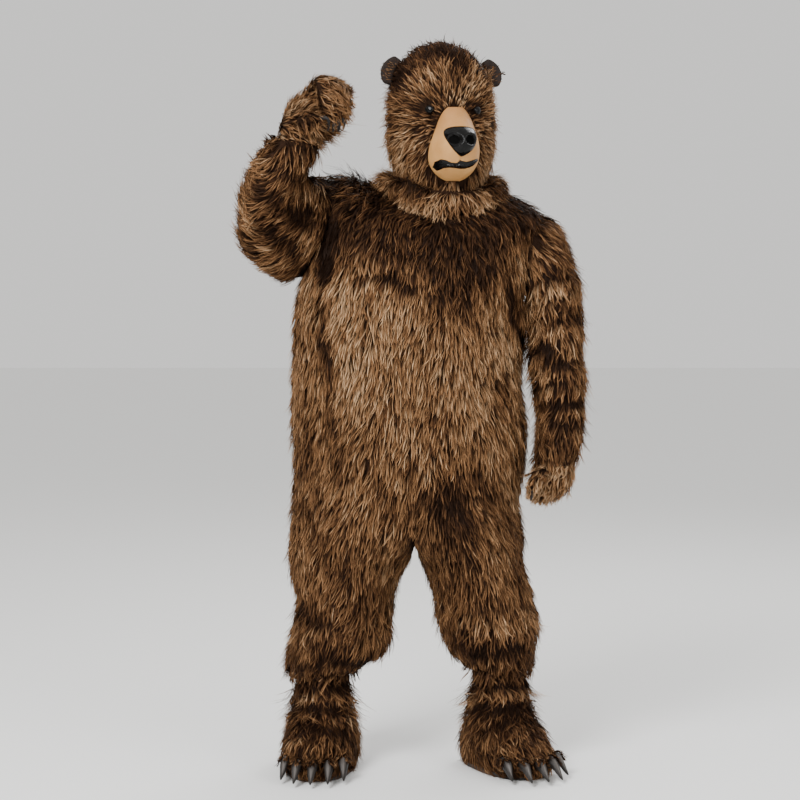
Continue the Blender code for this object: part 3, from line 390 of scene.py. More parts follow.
def comb(name, points, triangles, nap, look, seed, density=19000, width=1.0, slot="brown_fur", lead=0.0):
    """The pile on one panel. nap gives its way along the surface, look its length, height, shade and wildness.
    lead is how far along the nap from its root a hair takes its look, as it hides what lies there."""
    rng = np.random.default_rng(seed)
    size = np.linalg.norm(facings(points, triangles), axis=1)
    count = np.diff(np.floor(np.concatenate([[0], np.cumsum(size * density)]) + rng.random())).astype(int)
    face = np.repeat(np.arange(len(triangles)), count)
    mix = rng.dirichlet((1, 1, 1), len(face))
    normals = corner_normals(points, triangles)
    root = (points[triangles[face]] * mix[:, :, None]).sum(1)
    normal = unit((normals[triangles[face]] * mix[:, :, None]).sum(1))
    way = along_surface(nap(root, normal), normal)
    length, height, shade, wild = look(root + way * lead, normal)
    # Most of the locks are guard hair: longer, paler, gathered to a point, and over the rest. The underfur is
    # darker, painted shade beneath them.
    guard = rng.random(len(root)) < GUARD_SHARE
    swing = 0.15 * drift(root, 0.08, seed + 1) + 0.13 * drift(root, 0.022, seed + 2)
    way = turned(way, normal, swing + rng.normal(0, 0.1, len(root)) * wild)
    side = np.cross(way, normal)
    length = length * rng.uniform(0.78, 1.1, len(root)) * np.where(guard, 1.08, 0.85)
    height = height * np.where(guard, 1.0, 0.66) * (1 + 0.24 * drift(root, 0.02, seed + 3))
    curl = rng.normal(0, 0.09, len(root)) * length * wild
    wave = rng.normal(0, 0.0011, len(root)) * wild
    bent = curl[:, None] * ROWS ** 2 + wave[:, None] * np.sin(ROWS * 5 + rng.uniform(0, 6.3, (len(root), 1)))
    lines = root[:, None] + way[:, None] * (length[:, None] * ROWS)[:, :, None]
    lines, up = clung(lines + side[:, None] * bent[:, :, None], way, normal, skin(points, triangles))
    # The tips flare off the form where the pile is wild, a tuft at a time.
    tufts = 0.45 + 1.15 * ease(drift(root, 0.011, seed + 4), 0.0, 0.9)
    flare = (0.02 + 0.17 * (wild - 1)) * length * rng.random(len(root)) * guard * tufts
    # From here on each lock is its hairs.
    lock = np.repeat(np.arange(len(root)), len(LAYERS))
    guard = guard[lock]
    layer = np.tile(LAYERS, len(root)) + rng.normal(0, 0.12, len(lock))
    spread = rng.normal(0, 1, (len(lock), 2)) * np.where(guard, 0.0009, 0.0034)[:, None] * width
    gather, rises = np.where(guard[:, None], *GATHER), np.where(guard[:, None], *RISES)
    offset = side[lock] * spread[:, :1] + way[lock] * spread[:, 1:] * 1.6
    lines = lines[lock] + offset[:, None] * gather[:, :, None]
    stray = (rng.random(len(lock)) < 0.04) & guard
    lift = height[lock][:, None] * rises * (0.6 + 0.4 * layer[:, None]) + flare[lock][:, None] * ROWS ** 2.2
    lift = lift * (1 + rng.normal(0, 0.1, (len(lock), 1)) * ROWS * wild[lock][:, None])
    lift = lift + (stray * height[lock])[:, None] * rng.uniform(0.2, 0.8, (len(lock), 1)) * ROWS ** 2
    lines = lines + up[lock] * lift[:, :, None]
    lines = lines[:, :1] + (lines - lines[:, :1]) * rng.uniform(0.84, 1.04, len(lock))[:, None, None]
    across = turned(side[lock], way[lock], rng.normal(0, 0.45, len(lock)))
    # Underfur, and the lower hairs of each lock, are darker: painted shade under the hairs above them.
    tone = shade[lock] + 0.02 + rng.normal(0, 0.11, len(root))[lock] + rng.normal(0, 0.06, len(lock))
    tone = np.clip(tone + np.where(guard, 0.09, -0.24) + 0.1 * (layer - 0.5), 0.01, 0.99)
    thick = np.where(guard, 0.0017, 0.0046) * width * rng.uniform(0.75, 1.2, len(lock))
    thick = thick * np.where(stray, 0.7, 1.0)
    groups = [
        (rings, taper, lines[pick], across[pick], thick[pick], tone[pick])
        for pick, rings, taper in ((guard, (0, 1, 2, 3), (0.7, 1.0, 0.8)), (~guard, (0, 2, 3), (0.8, 1.0)))
    ]
    made = ribbons(name, groups)
    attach(made, "root")
    return made


# The suit: four long panels from the neck to the ankles, sewn up the middle of the front and back, at
# the sides and along the inseams. Its nap runs down, leaning out at the sides and round the hips.
RIGHT, LEFT = -1, 1


def suit_nap(at, normal):
    x, z = at[:, 0], at[:, 2]
    lean = np.interp(x, (-0.36, -0.2, -0.02, 0.12, 0.26), (-0.3, -0.2, -0.1, 0.08, 0.24))
    hip = np.exp(-((x - 0.16) / 0.085) ** 2 - ((z + 0.74) / 0.1) ** 2) * (normal[:, 1] < 0)
    lean = lean + 0.65 * hip
    shoulder = ease(normal[:, 2], 0.45, 0.95)
    return np.stack([lean + shoulder * np.sign(x) * 1.2, -0.8 * shoulder * (at[:, 1] < 0.02), -1 + 0 * x], 1)


EYE = np.array((-0.0936, -5.0, -0.25))      # where the camera stands

# Lines along which the cloth folds in (below 0) or stands out: in front as the camera sees them, behind where
# they lie. Columns: start x and z, end x and z, half width, in or out, all in millimetres, and how much painted
# shade the fold gets, in hundredths (below 0, a painted highlight where the cloth stands out).
FRONT_CREASES = (
    (-268, 52, -272, -60, 14, -9, 46), (-272, -60, -284, -200, 13, -10, 60),
    (-290, -250, -280, -400, 11, -7, 44), (-280, -400, -262, -560, 11, -5, 34),
    (-262, -560, -250, -715, 13, -4, 22), (-312, -100, -304, -300, 14, 3, -12),
    (-240, -240, -225, -420, 20, 2, -8), (-320, -560, -335, -690, 16, -3, 16),
    (-205, -195, -135, -190, 9, -7, 44), (-152, -190, -112, -194, 10, -10, 66),
    (-112, -194, -66, -230, 11, -8, 48), (-330, -215, -130, -215, 12, 3, -12),
    (200, -110, 222, -200, 16, 3, -20), (186, -225, 206, -340, 10, -7, 46),
    (212, -335, 238, -425, 12, -9, 60), (236, -140, 244, -300, 12, -4, 24),
    (170, -430, 120, -640, 16, -3, 10), (100, -680, 225, -900, 18, -4, 14),
    (130, -640, 215, -800, 22, 3, -10), (10, -690, 85, -850, 18, -5, 20),
    (-85, -690, 10, -800, 14, -5, 24), (-140, -720, -75, -880, 14, -4, 16),
    (-132, -722, -18, -735, 10, 3, -12), (-106, -846, -54, -842, 10, 3, -12),
    (-330, -790, -240, -980, 18, -4, 12), (-335, -1060, -265, -1105, 18, -6, 34),
    (-365, -1128, -257, -1118, 8, 4, -22), (-290, -1172, -190, -1196, 14, -9, 62),
    (-350, -1190, -300, -1215, 12, -4, 24), (127, -1052, 257, -1040, 9, -6, 34),
    (140, -1105, 262, -1080, 24, 4, -18), (100, -1176, 212, -1150, 11, -10, 70),
    (52, -1120, 105, -1160, 12, -4, 26), (255, -200, 309, -176, 9, -6, 46),
    (309, -176, 339, -186, 9, -5, 40), (262, -226, 340, -224, 15, 3, -16),
    (306, -252, 342, -250, 10, -5, 42), (300, -298, 356, -288, 12, -6, 46),
    (250, -275, 300, -272, 12, 2, -10), (240, -378, 298, -372, 11, -9, 62),
    (290, -410, 356, -400, 12, -6, 46), (265, -444, 350, -446, 9, 3, -18),
    (262, -466, 345, -462, 8, -8, 62), (270, -490, 370, -486, 9, 2, -8),
    (286, -518, 378, -508, 12, -8, 60), (276, -545, 370, -540, 10, 3, -14),
    (320, -572, 384, -566, 11, -6, 44), (262, -612, 325, -622, 12, -4, 24),
    (-462, 30, -420, 22, 16, -5, 44), (-386, -4, -330, -12, 16, -8, 62),
    (-372, -40, -340, -45, 14, -6, 46), (-446, -62, -404, -76, 16, -6, 48),
    (-376, -100, -362, -130, 13, -5, 44), (-400, 150, -366, 134, 10, -4, 34),
    (-428, 84, -378, 70, 12, -6, 48), (-344, 76, -290, 60, 13, -6, 48),
    (-392, 4, -394, -58, 7, 4, -20), (-340, 34, -296, 28, 13, 3, -14),
    (-98, 320, -95, 200, 10, -2, 24), (-350, -1248, -245, -1252, 10, -7, 44),
    (-340, -1282, -240, -1292, 9, 6, -20), (-350, -1312, -262, -1326, 13, -9, 50),
    (-370, -1340, -250, -1352, 9, 6, -18), (-340, -1372, -246, -1380, 14, -6, 36),
    (108, -1262, 225, -1252, 10, -7, 44), (106, -1288, 235, -1276, 9, 6, -20),
    (118, -1316, 205, -1318, 12, -9, 50), (205, -1312, 262, -1322, 12, -7, 34),
    (150, -1364, 270, -1348, 12, -6, 36),
)
BACK_CREASES = (
    (-230, -20, -180, -330, 18, -5, 22), (190, -90, 130, -360, 18, -5, 22),
    (-220, -430, 60, -470, 16, -4, 20), (-300, -560, -90, -640, 18, -4, 18),
    (-230, -760, -110, -880, 18, -5, 24), (110, -760, 0, -880, 18, -5, 24),
    (-330, -1100, -190, -1112, 14, -6, 34), (-320, -1176, -190, -1196, 14, -8, 50),
    (70, -1086, 220, -1100, 14, -6, 34), (80, -1156, 210, -1176, 14, -8, 50),
    (240, -220, 320, -200, 10, -5, 36), (250, -320, 350, -335, 10, -6, 40),
    (250, -410, 370, -395, 10, -6, 46), (255, -500, 380, -520, 10, -6, 40),
    (-460, 40, -380, 10, 14, -5, 40), (-440, -70, -350, -100, 14, -5, 40),
)
# DARKER scales the painted shade in the folds and the painted highlight where they stand out.
WIDER, DARKER = 1.2, 1.2    # how much more than the tables say


def folded(at, normal):
    """How far the creases take the pile in or out, and how much painted shade they lay on it, or painted
    highlight where the cloth stands out.
    """
    depth, dark = np.zeros(len(at)), np.zeros(len(at))
    near = EYE[1] / (EYE[1] - at[:, 1:2])
    seen = EYE[[0, 2]] + (at[:, (0, 2)] - EYE[[0, 2]]) * near
    seen = np.where(normal[:, 1:2] < 0, seen, at[:, (0, 2)])
    seen = seen + 0.006 * np.stack([drift(at, 0.03, 8), drift(at, 0.03, 9)], 1)
    for face, row in [(-1, row) for row in FRONT_CREASES] + [(1, row) for row in BACK_CREASES]:
        x0, z0, x1, z1, wide, deep = (size / 1000 for size in row[:-1])
        start, run = np.array((x0, z0)), np.array((x1 - x0, z1 - z0))
        share = np.clip((seen - start) @ run / (run @ run), 0, 1)
        away = np.linalg.norm(seen - start - share[:, None] * run, axis=1)
        close = bell(away / wide, 0, WIDER) * (normal[:, 1] * face > 0.1)
        depth += close * deep
        # Painted shade in a fold, or painted highlight where the cloth stands out.
        dark += close * (row[-1] / 100) * DARKER
    return depth, dark


def pile_height(depth):
    return np.maximum(0.0125 + depth, 0.004)


def hump(at, normal):
    """Where the pile stands up on the shoulder of the raised arm."""
    near = bell(at[:, 0], -0.235, 0.07) * (np.abs(at[:, 2] - 0.02) < 0.07)
    return near * ease(normal[:, 2], 0.25, 0.75)


def suit_look(at, normal):
    x, z = at[:, 0], at[:, 2]
    front = ease(-normal[:, 1], -0.2, 0.3)
    # The chest and shoulders are much darker, down to a ragged, soft border. The legs darken to the hem.
    places = (-0.3, -0.16, -0.05, -0.01, 0.09, 0.12, 0.19, 0.26)
    border = np.interp(x, places, (-0.215, -0.2, -0.23, -0.32, -0.34, -0.28, -0.18, -0.11))
    chest = ease(z + 0.025 * drift(at, 0.03, 3), border - 0.04, border + 0.15)
    chest *= np.interp(x, (-0.28, -0.15), (0.6, 1.0))
    # The crotch, a recess between the legs, has shorter pile and painted shade.
    crotch = np.exp(-((x - 0.04) / 0.055) ** 2 - ((z + 0.8) / 0.1) ** 2) * front
    spots = ease(drift(at, 0.022, 4), 0.7, 1.0)
    # dark is the creases' painted shade and highlight.
    depth, dark = folded(at, normal)
    heights = (-1.2, -1.1, -0.92, -0.69, -0.5, -0.33, -0.2)
    level = np.interp(z, heights, (0.37, 0.4, 0.5, 0.555, 0.65, 0.685, 0.625))
    shade = level + 0.06 * drift(at, 0.09, 5) - 0.47 * chest - 0.3 * crotch - dark - 0.16 * spots
    shade -= 0.07 * front * (ease(-x, 0.23, 0.31) + ease(x, 0.17, 0.24)) * (z > -0.8)
    armpit = np.exp(-((x - 0.24) / 0.025) ** 2 - ((z + 0.32) / 0.11) ** 4)
    under = ease(-normal[:, 2], 0.45, 0.75) * (z < -1.05)
    high = hump(at, normal)
    length = (0.05 - 0.012 * crotch - 0.008 * chest) * (1 - 0.7 * under)
    outline = ease(np.abs(normal[:, 0]), 0.6, 0.95)
    wild = 1 + 0.5 * chest + 0.9 * outline + 0.6 * ease(-1.0 - z, 0, 0.1) + armpit + 1.2 * high
    height = pile_height(depth) + 0.012 * armpit + 0.024 * high
    return length, height, shade, wild * (1 - 0.6 * under)


SUIT_PILE = 0.0105
for seed, (panel, flat, cut) in enumerate((
    ("front_right", (0.56, 1.36), 0.53), ("front_left", (0.54, 1.34), 0.47),
    ("back_right", (0.56, 1.36), 0.52), ("back_left", (0.54, 1.34), 0.47),
)):
    cloth, points, shown = backing("suit_" + panel, "suit_backing_" + panel, SUIT_PILE)
    fur = comb("suit_fur_" + panel, points, shown, suit_nap, suit_look, 100 + 10 * seed, lead=0.024)

# The sleeves: one piece each, set into the armholes. The nap runs to the cuff; on the raised arm it falls
# outward round the bent elbow.
SLEEVE_WAY = np.array((
    (0.2, 0.0, -0.09), (0.28, -0.005, -0.17), (0.31, -0.015, -0.3), (0.312, -0.04, -0.5),
    (0.3065, -0.06, -0.651),
))


def path_nap(path):
    """A nap along a path."""
    middles, ways = (path[1:] + path[:-1]) / 2, unit(path[1:] - path[:-1])

    def nap(at, normal):
        nearness = bell(distances(at, middles), 0, 0.06) + 1e-9
        return unit(nearness @ ways)

    return nap


def hanging_nap(at, normal):
    lean = np.interp(at[:, 0], (0.24, 0.3, 0.37), (-0.3, -0.1, 0.4))
    return path_nap(SLEEVE_WAY)(at, normal) + lean[:, None] * (1, 0, 0)


# The raised sleeve's nap, as the camera sees it. Columns: x, z, its way's x and z.
RAISED_NAP = np.array((
    (-0.49, 0.0, -0.7, 0.7), (-0.47, -0.1, -0.85, 0.45), (-0.43, -0.16, -0.95, -0.1),
    (-0.38, -0.19, -0.8, -0.6), (-0.34, -0.12, -0.3, -1.0), (-0.31, 0.0, -0.1, -1.0),
    (-0.355, 0.03, -0.45, -0.9), (-0.4, -0.04, -0.6, -0.5), (-0.44, 0.08, -0.75, 0.6),
    (-0.4, 0.1, -0.4, -0.6), (-0.42, 0.14, -0.6, 0.8), (-0.36, 0.13, 0.2, -0.7),
    (-0.31, 0.07, 0.2, -0.9), (-0.31, -0.19, -0.2, -1.0),
))


def raised_nap(at, normal):
    ways = bell(distances(at[:, (0, 2)], RAISED_NAP[:, :2]), 0, 0.035) @ RAISED_NAP[:, 2:]
    return unit(np.stack([ways[:, 0], -0.3 * np.abs(ways).sum(1), ways[:, 1]], 1))


def sleeve_look(at, normal):
    x, z = at[:, 0], at[:, 2]
    # dark is the creases' painted shade and highlight.
    depth, dark = folded(at, normal)
    left = x > 0
    hanging = np.interp(z, (-0.65, -0.48, -0.28, -0.18, -0.05), (0.46, 0.52, 0.58, 0.52, 0.36))
    level = np.where(left, hanging, 0.53)
    shade = level + 0.11 * drift(at, 0.04, 11) - dark
    outline = ease(np.abs(normal[:, 0]), 0.55, 0.95)
    rim = ease(np.abs(normal[:, 2]), 0.55, 0.85) * ((z > 0.1) | (z < -0.6))
    armpit = np.exp(-((x - 0.255) / 0.02) ** 2 - ((z + 0.33) / 0.11) ** 4)
    height = pile_height(depth) * (1 - 0.5 * rim) + 0.012 * armpit
    high = hump(at, normal)
    wild = 1.4 + (1.2 + 0.3 * left) * outline * (1 - rim) - 0.4 * rim + high
    return (0.046 + 0.006 * outline) * (1 - 0.75 * rim), height + 0.012 * high, shade - 0.02, wild


for side, word, nap, flat, cut in (
    (RIGHT, "right", raised_nap, (0.5, 0.5), 0.195), (LEFT, "left", hanging_nap, (0.5, 0.62), 0.235),
):
    cloth, points, shown = backing("sleeve_" + word, "sleeve_backing_" + word, SUIT_PILE)
    fur = comb("sleeve_fur_" + word, points, shown, nap, sleeve_look, 200 + 10 * side, lead=0.02)


# The mask: fur over a shell in a front and a back half, with the locks running out from the bridge of the
# nose, and a ruff of longer, paler fur that hangs from it over the suit's shoulders.
HEAD_AT = np.array((0.013, -0.028, 0.0))
FACE_TURN = math.radians(14)
FACE_WAY = np.array((math.sin(FACE_TURN), -math.cos(FACE_TURN), 0.0))
FACE_SIDE = np.array((math.cos(FACE_TURN), math.sin(FACE_TURN), 0.0))
UP = np.array((0, 0, 1.0))
BRIDGE = HEAD_AT + FACE_WAY * 0.14 + UP * 0.185
EYE_ACROSS, EYE_Z = 0.056, 0.229


def mask_nap(at, normal):
    away = unit(at - BRIDGE)
    behind = ease(-(at - HEAD_AT) @ FACE_WAY, -0.08, 0.06)
    cheek = ease(0.24 - at[:, 2], 0, 0.12)
    return away - UP * (0.9 * behind + 0.45 * cheek)[:, None]


def mask_look(at, normal):
    z = at[:, 2]
    far = np.linalg.norm(at - BRIDGE, axis=1)
    across = (at - HEAD_AT) @ FACE_SIDE
    ahead = (at - HEAD_AT) @ FACE_WAY > 0
    # Round the eyes the pile is shorter, lower and darker: the darkening is painted shade in the sockets.
    socket = np.exp(-(((np.abs(across) - EYE_ACROSS) / 0.016) ** 2 + ((z - EYE_Z) / 0.018) ** 2)) * ahead
    temple = bell(across, -0.106, 0.014) * ease(z, 0.22, 0.27) * ahead
    crown = ease(z + 0.02 * drift(at, 0.04, 23), 0.285, 0.355)
    # dark is the creases' painted shade and highlight.
    _, dark = folded(at, normal)
    length = np.interp(far, (0.03, 0.07, 0.13), (0.015, 0.024, 0.036)) - 0.006 * socket
    shade = 0.61 - 0.54 * crown + 0.12 * drift(at, 0.03, 21) - 0.42 * socket - 0.32 * temple - dark
    height = np.interp(far, (0.04, 0.09), (0.0105, 0.011)) - 0.008 * crown - 0.005 * socket
    outline = ease(np.abs(normal @ FACE_SIDE), 0.6, 0.95)
    ear = np.exp(-((np.abs(across) - 0.11) / 0.016) ** 2 - ((z - 0.325) / 0.028) ** 4)
    wild = 1.3 + 1.6 * crown + 1.2 * outline * (z < 0.3)
    return length + 0.006 * outline, np.maximum(height, 0.003) + 0.009 * ear, shade, wild


def bib_nap(at, normal):
    away = at - HEAD_AT
    away[:, 2] = 0
    return unit(away) * 0.8 - UP


def bib_look(at, normal):
    patches = ease(drift(at, 0.035, 31), 0.1, 0.9)
    low = ease(0.045 - at[:, 2], 0, 0.05)
    shade = 0.66 - 0.36 * patches + 0.14 * low
    return 0.044 - 0.012 * low, 0.0105 + 0.002 * drift(at, 0.03, 32), shade, 2.4 + 0 * low


for node, nap, look, seed, slot, pile, flat, cut, held in (
    ("mask_front", mask_nap, mask_look, 300, "brown_fur", 0.0125, (0.44, 0.4), 0.135, "stretched"),
    ("mask_back", mask_nap, mask_look, 310, "brown_fur", 0.0125, (0.44, 0.42), 0.14, "stretched"),
    ("mask_bib", bib_nap, bib_look, 320, "light_fur", 0.0085, (0.44, 0.42), 0.07, "hung"),
):
    cloth, points, shown = backing(node, node + "_backing", pile)
    fur = comb(node + "_fur", points, shown, nap, look, seed, density=30000, width=0.72, slot=slot)

# The muzzle: satin tan latex, cast over the mask's front, with a few fine wrinkles on its bridge, a cleft
# from the nose to the mouth, and painted shade darkening its top.


def refined(node, name, levels, finish, shift=None):
    """A node's form with its facets rounded, in place of the node."""
    points, triangles = welded(node)
    made = new_mesh(name, points, triangles, finish)
    mesh = made.data
    work = bmesh.new()
    work.from_mesh(mesh)
    bmesh.ops.join_triangles(work, faces=work.faces, angle_face_threshold=0.7, angle_shape_threshold=1.2)
    work.to_mesh(mesh)
    work.free()
    rounding = made.modifiers.new("rounding", "SUBSURF")
    rounding.levels = rounding.render_levels = levels
    smooth = bpy.data.meshes.new_from_object(made.evaluated_get(bpy.context.evaluated_depsgraph_get()))
    made.modifiers.clear()
    made.data = smooth
    smooth.name = name
    if shift:
        places, ways = read(smooth.vertices, "co"), read(smooth.vertex_normals, "vector")
        smooth.vertices.foreach_set("co", (places + ways * shift(places, ways)[:, None]).ravel())
    smooth.polygons.foreach_set("use_smooth", [True] * len(smooth.polygons))
    smooth.update()
    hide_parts(node)
    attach(made, "root")
    return made


def on_face(at):
    """Across and up the face, in the mask's own frame."""
    return (at - HEAD_AT) @ FACE_SIDE, at[:, 2]


def muzzle_relief(at, ways):
    across, up = on_face(at)
    outward = ease(ways @ FACE_WAY, -0.1, 0.4)
    wrinkles = np.zeros(len(at))
    for z, bow, wide in ((0.199, 9, 0.026), (0.206, 8, 0.022), (0.213, 7, 0.019), (0.192, 11, 0.028)):
        off = up - z - bow * across ** 2 + 0.003 * np.sin(across * 160 + z * 900)
        wrinkles += bell(off, 0, 0.0016) * ease(wide - np.abs(across), 0, 0.015)
    cleft = bell(across, -0.003, 0.0028) * ease(0.118 - up, 0, 0.01) * ease(up - 0.093, 0, 0.005)
    return -outward * (0.0012 * wrinkles + 0.003 * cleft)


wire, finish = new_finish("tan_latex_skin", **{"Specular IOR Level": 0.28, "Subsurface Weight": 0.05})
place = wire.place()
mottle = place.noise(22.0, 5.0).spread(0.32, 0.68)
pores = place.cells(650.0)
grime = place.noise(9.0, 3.0).spread(0.45, 0.75)
# Darker with grime here and there and, towards the top, with painted shade.
painted_top_shade = place.axis(2).spread(0.15, 0.235)
clean = mottle.mixed((0.43, 0.205, 0.062), (0.525, 0.27, 0.092))
TAN_LATEX = finish({
    "Base Color": (grime * 0.25 + painted_top_shade * 0.75).mixed(clean, (0.31, 0.135, 0.042)),
    "Roughness": 0.44 + 0.14 * mottle,
    "Normal": (pores * 0.4 + mottle * 0.6).bump(0.0007),
})
muzzle = refined("muzzle", "muzzle_skin", 3, TAN_LATEX, muzzle_relief)

# The nose, the mouth's dark lip and the eyes: glossy black, cast and glued on.
wire, finish = new_finish("black_gloss_cast", **{"IOR": 1.24, "Specular IOR Level": 0.5})
place = wire.place()
pebbles = place.cells(260.0)
smears = place.noise(60.0, 3.0).spread(0.35, 0.7)
BLACK_GLOSS = finish({
    "Base Color": smears.mixed((0.0016, 0.0016, 0.0017), (0.005, 0.0046, 0.0042)),
    "Roughness": 0.11 + 0.12 * smears,
    "Normal": pebbles.bump(0.0004),
})


def cast_on(node, name, ground, across, up, rise, ring=False):
    """A piece cast on the face: a grid of places across and up it, and how far each stands off the ground."""
    ahead, places = Vector(FACE_WAY), HEAD_AT + FACE_SIDE * across[..., None] + UP * up[..., None]
    starts = (Vector(place) + ahead * 0.5 for place in places.reshape(-1, 3))
    base = np.array([ground.ray_cast(start, -ahead)[0] for start in starts])
    points = np.concatenate([base + FACE_WAY * rise.reshape(-1, 1), base - FACE_WAY * 0.001])
    index = np.arange(across.size).reshape(across.shape)
    index = np.concatenate([index, index[:, :1]], 1) if ring else index
    quads = np.stack([index[:-1, :-1], index[:-1, 1:], index[1:, 1:], index[1:, :-1]], 2).reshape(-1, 4)
    edges = [index[0]] + ([] if ring else [index[-1], index[:, 0], index[:, -1]])
    below = across.size
    walls = [np.stack([edge[:-1], edge[1:], edge[1:] + below, edge[:-1] + below], 1) for edge in edges]
    made = new_mesh(name, points, np.concatenate([quads, quads[:, ::-1] + below] + walls), BLACK_GLOSS)
    work = bmesh.new()
    work.from_mesh(made.data)
    bmesh.ops.remove_doubles(work, verts=work.verts, dist=0.00001)
    bmesh.ops.recalc_face_normals(work, faces=work.faces)
    work.to_mesh(made.data)
    work.free()
    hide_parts(node)
    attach(made, "root")
    return made


def nostrils(across, up):
    """0 in the middle of a nostril and 1 on its edge."""
    return np.hypot((np.abs(across + 0.003) - 0.02) / 1.15, up - 0.001) / 0.0122


NOSE_Z, MOUTH_Z = 0.146, 0.098
snout = BVHTree.FromObject(muzzle, bpy.context.evaluated_depsgraph_get())
rings, spokes = np.cos(np.linspace(0, math.pi / 2, 61)), np.arange(96) * math.pi / 48
share, angle = np.meshgrid(rings, spokes, indexing="ij")
low = np.maximum(-np.cos(angle), 0)
across = share * (0.0545 * np.sin(angle) * (0.7 + 0.34 * np.cos(angle)) - 0.003 * low ** 3)
up = share * (0.0465 * np.cos(angle) * (0.9 - 0.13 * np.cos(2 * angle)) - 0.004 * low ** 9)
rise = 0.0015 + 0.0155 * (1 - share ** 2.4) ** 0.5
nostril = nostrils(across, up)
rise = np.maximum(rise - 0.015 * np.exp(-nostril ** 4), 0.0012)
rise += 0.0012 * bell(nostril, 1.35, 0.25) * (share < 0.9)
rise -= 0.0016 * bell(across, -0.002, 0.0016) * ease(-0.004 - up, 0, 0.015) * (share < 0.95)
nose = cast_on("nose", "nose_pad", snout, across, NOSE_Z + up, rise, ring=True)
# Inside the nostrils the nose is matte and a little blacker: painted shade deep in the holes.
wire, finish = new_finish("nostril_matt_black", IOR=1.1)
nostril_shade = wire.add("TexNoise", {}, {"Scale": 90.0}).spread(0.3, 0.7)
nose.data.materials.append(finish({
    "Base Color": nostril_shade.mixed((0.001, 0.001, 0.001), (0.003, 0.0028, 0.0026)),
    "Roughness": 0.8 + 0.1 * nostril_shade,
}))
for face in nose.data.polygons:
    across, up = on_face(np.array([face.center]))
    face.material_index = int(nostrils(across[0], up[0] - NOSE_Z) < 0.86)

# The lip's upper and lower edge. Columns: share of the half width across, top, bottom.
LIP = np.array((
    (-1, -0.002, -0.014), (-0.84, 0.003, -0.0235), (-0.66, 0.0, -0.018), (-0.44, -0.0062, -0.0175),
    (-0.22, -0.0072, -0.019), (-0.08, 0.0, -0.02), (0, -0.0022, -0.0205), (0.22, -0.0042, -0.02),
    (0.44, -0.001, -0.017), (0.66, 0.003, -0.011), (0.84, 0.006, -0.003), (0.9, 0.0065, 0.0),
))
down, share = np.meshgrid(np.linspace(0, 1, 25), np.linspace(-1, 0.9, 91), indexing="ij")
top, low = (MOUTH_Z + np.interp(share, LIP[:, 0], LIP[:, k]) for k in (1, 2))
bead = 0.0062 * bell(down, 0.68, 0.2) * np.clip(1 - share ** 2, 0, 1) ** 0.5
cast_on("mouth_lips", "mouth_lip", snout, 0.056 * share, top + (low - top) * down, 0.0014 + bead)

for side in ("right", "left"):
    refined("eye_" + side, "eye_dome_" + side, 2, BLACK_GLOSS)

# The ears: round, low flaps with short brown fur in the cup and behind, and a smooth dark rim.
wire, finish = new_finish("ear_rim_skin", IOR=1.25)
place = wire.place()
worn = place.noise(120.0, 3.0).spread(0.3, 0.7)
EAR_SKIN = finish({
    "Base Color": worn.mixed((0.007, 0.0045, 0.0035), (0.022, 0.014, 0.011)),
    "Roughness": 0.55 + 0.2 * worn,
    "Normal": worn.bump(0.0006),
})


EAR_ACROSS, EAR_Z, CUP_RADIUS = 0.128, 0.33, 0.026


def ear_nap(at, normal):
    return at - (HEAD_AT + UP * 0.27)


def ear_look(at, normal):
    front = normal @ FACE_WAY > 0
    return 0.004 + 0.01 * front, 0.0012 + 0.003 * front, 0.42 + 0.1 * drift(at, 0.02, 41), 1.0 + 0.2 * front


def ear_gain(places, ways):
    """Rounding an ear thins it, and this gives that back."""
    return np.full(len(places), 0.002)


for side, word in ((RIGHT, "right"), (LEFT, "left")):
    ear = refined("ear_" + word, "ear_flap_" + word, 2, EAR_SKIN, ear_gain)
    points, triangles = welded("ear_" + word)
    middle = HEAD_AT + FACE_SIDE * side * EAR_ACROSS + UP * EAR_Z
    from_middle = points[triangles].mean(1) - middle
    across, up = from_middle @ FACE_SIDE * side, from_middle[:, 2]
    ahead = unit(facings(points, triangles)) @ FACE_WAY
    cup, back = (np.hypot(across, up) < CUP_RADIUS) & (ahead > 0.2), ahead < -0.3
    furred = triangles[cup | back]
    comb("ear_fur_" + word, points, furred, ear_nap, ear_look, 330 + side, density=30000, width=0.6)

# The mitts: fur backs and palms with a sewn-in thumb, the nap from the wrist to the fingertips.
MITT_WAY = {
    RIGHT: np.array((
        (-0.353, -0.124, 0.155), (-0.332, -0.104, 0.207), (-0.288, -0.072, 0.258), (-0.261, -0.162, 0.276),
        (-0.255, -0.174, 0.21),
    )),
    LEFT: np.array((
        (0.3095, -0.06, -0.64), (0.304, -0.067, -0.674), (0.299, -0.078, -0.694), (0.292, -0.084, -0.717),
        (0.286, -0.072, -0.738), (0.281, -0.044, -0.747), (0.278, -0.014, -0.741), (0.276, 0.008, -0.729),
    )),
}
RAISED_CLAWS = np.array([welded(f"mitt_right_claw_{number}")[0].mean(0) for number in range(1, 6)])


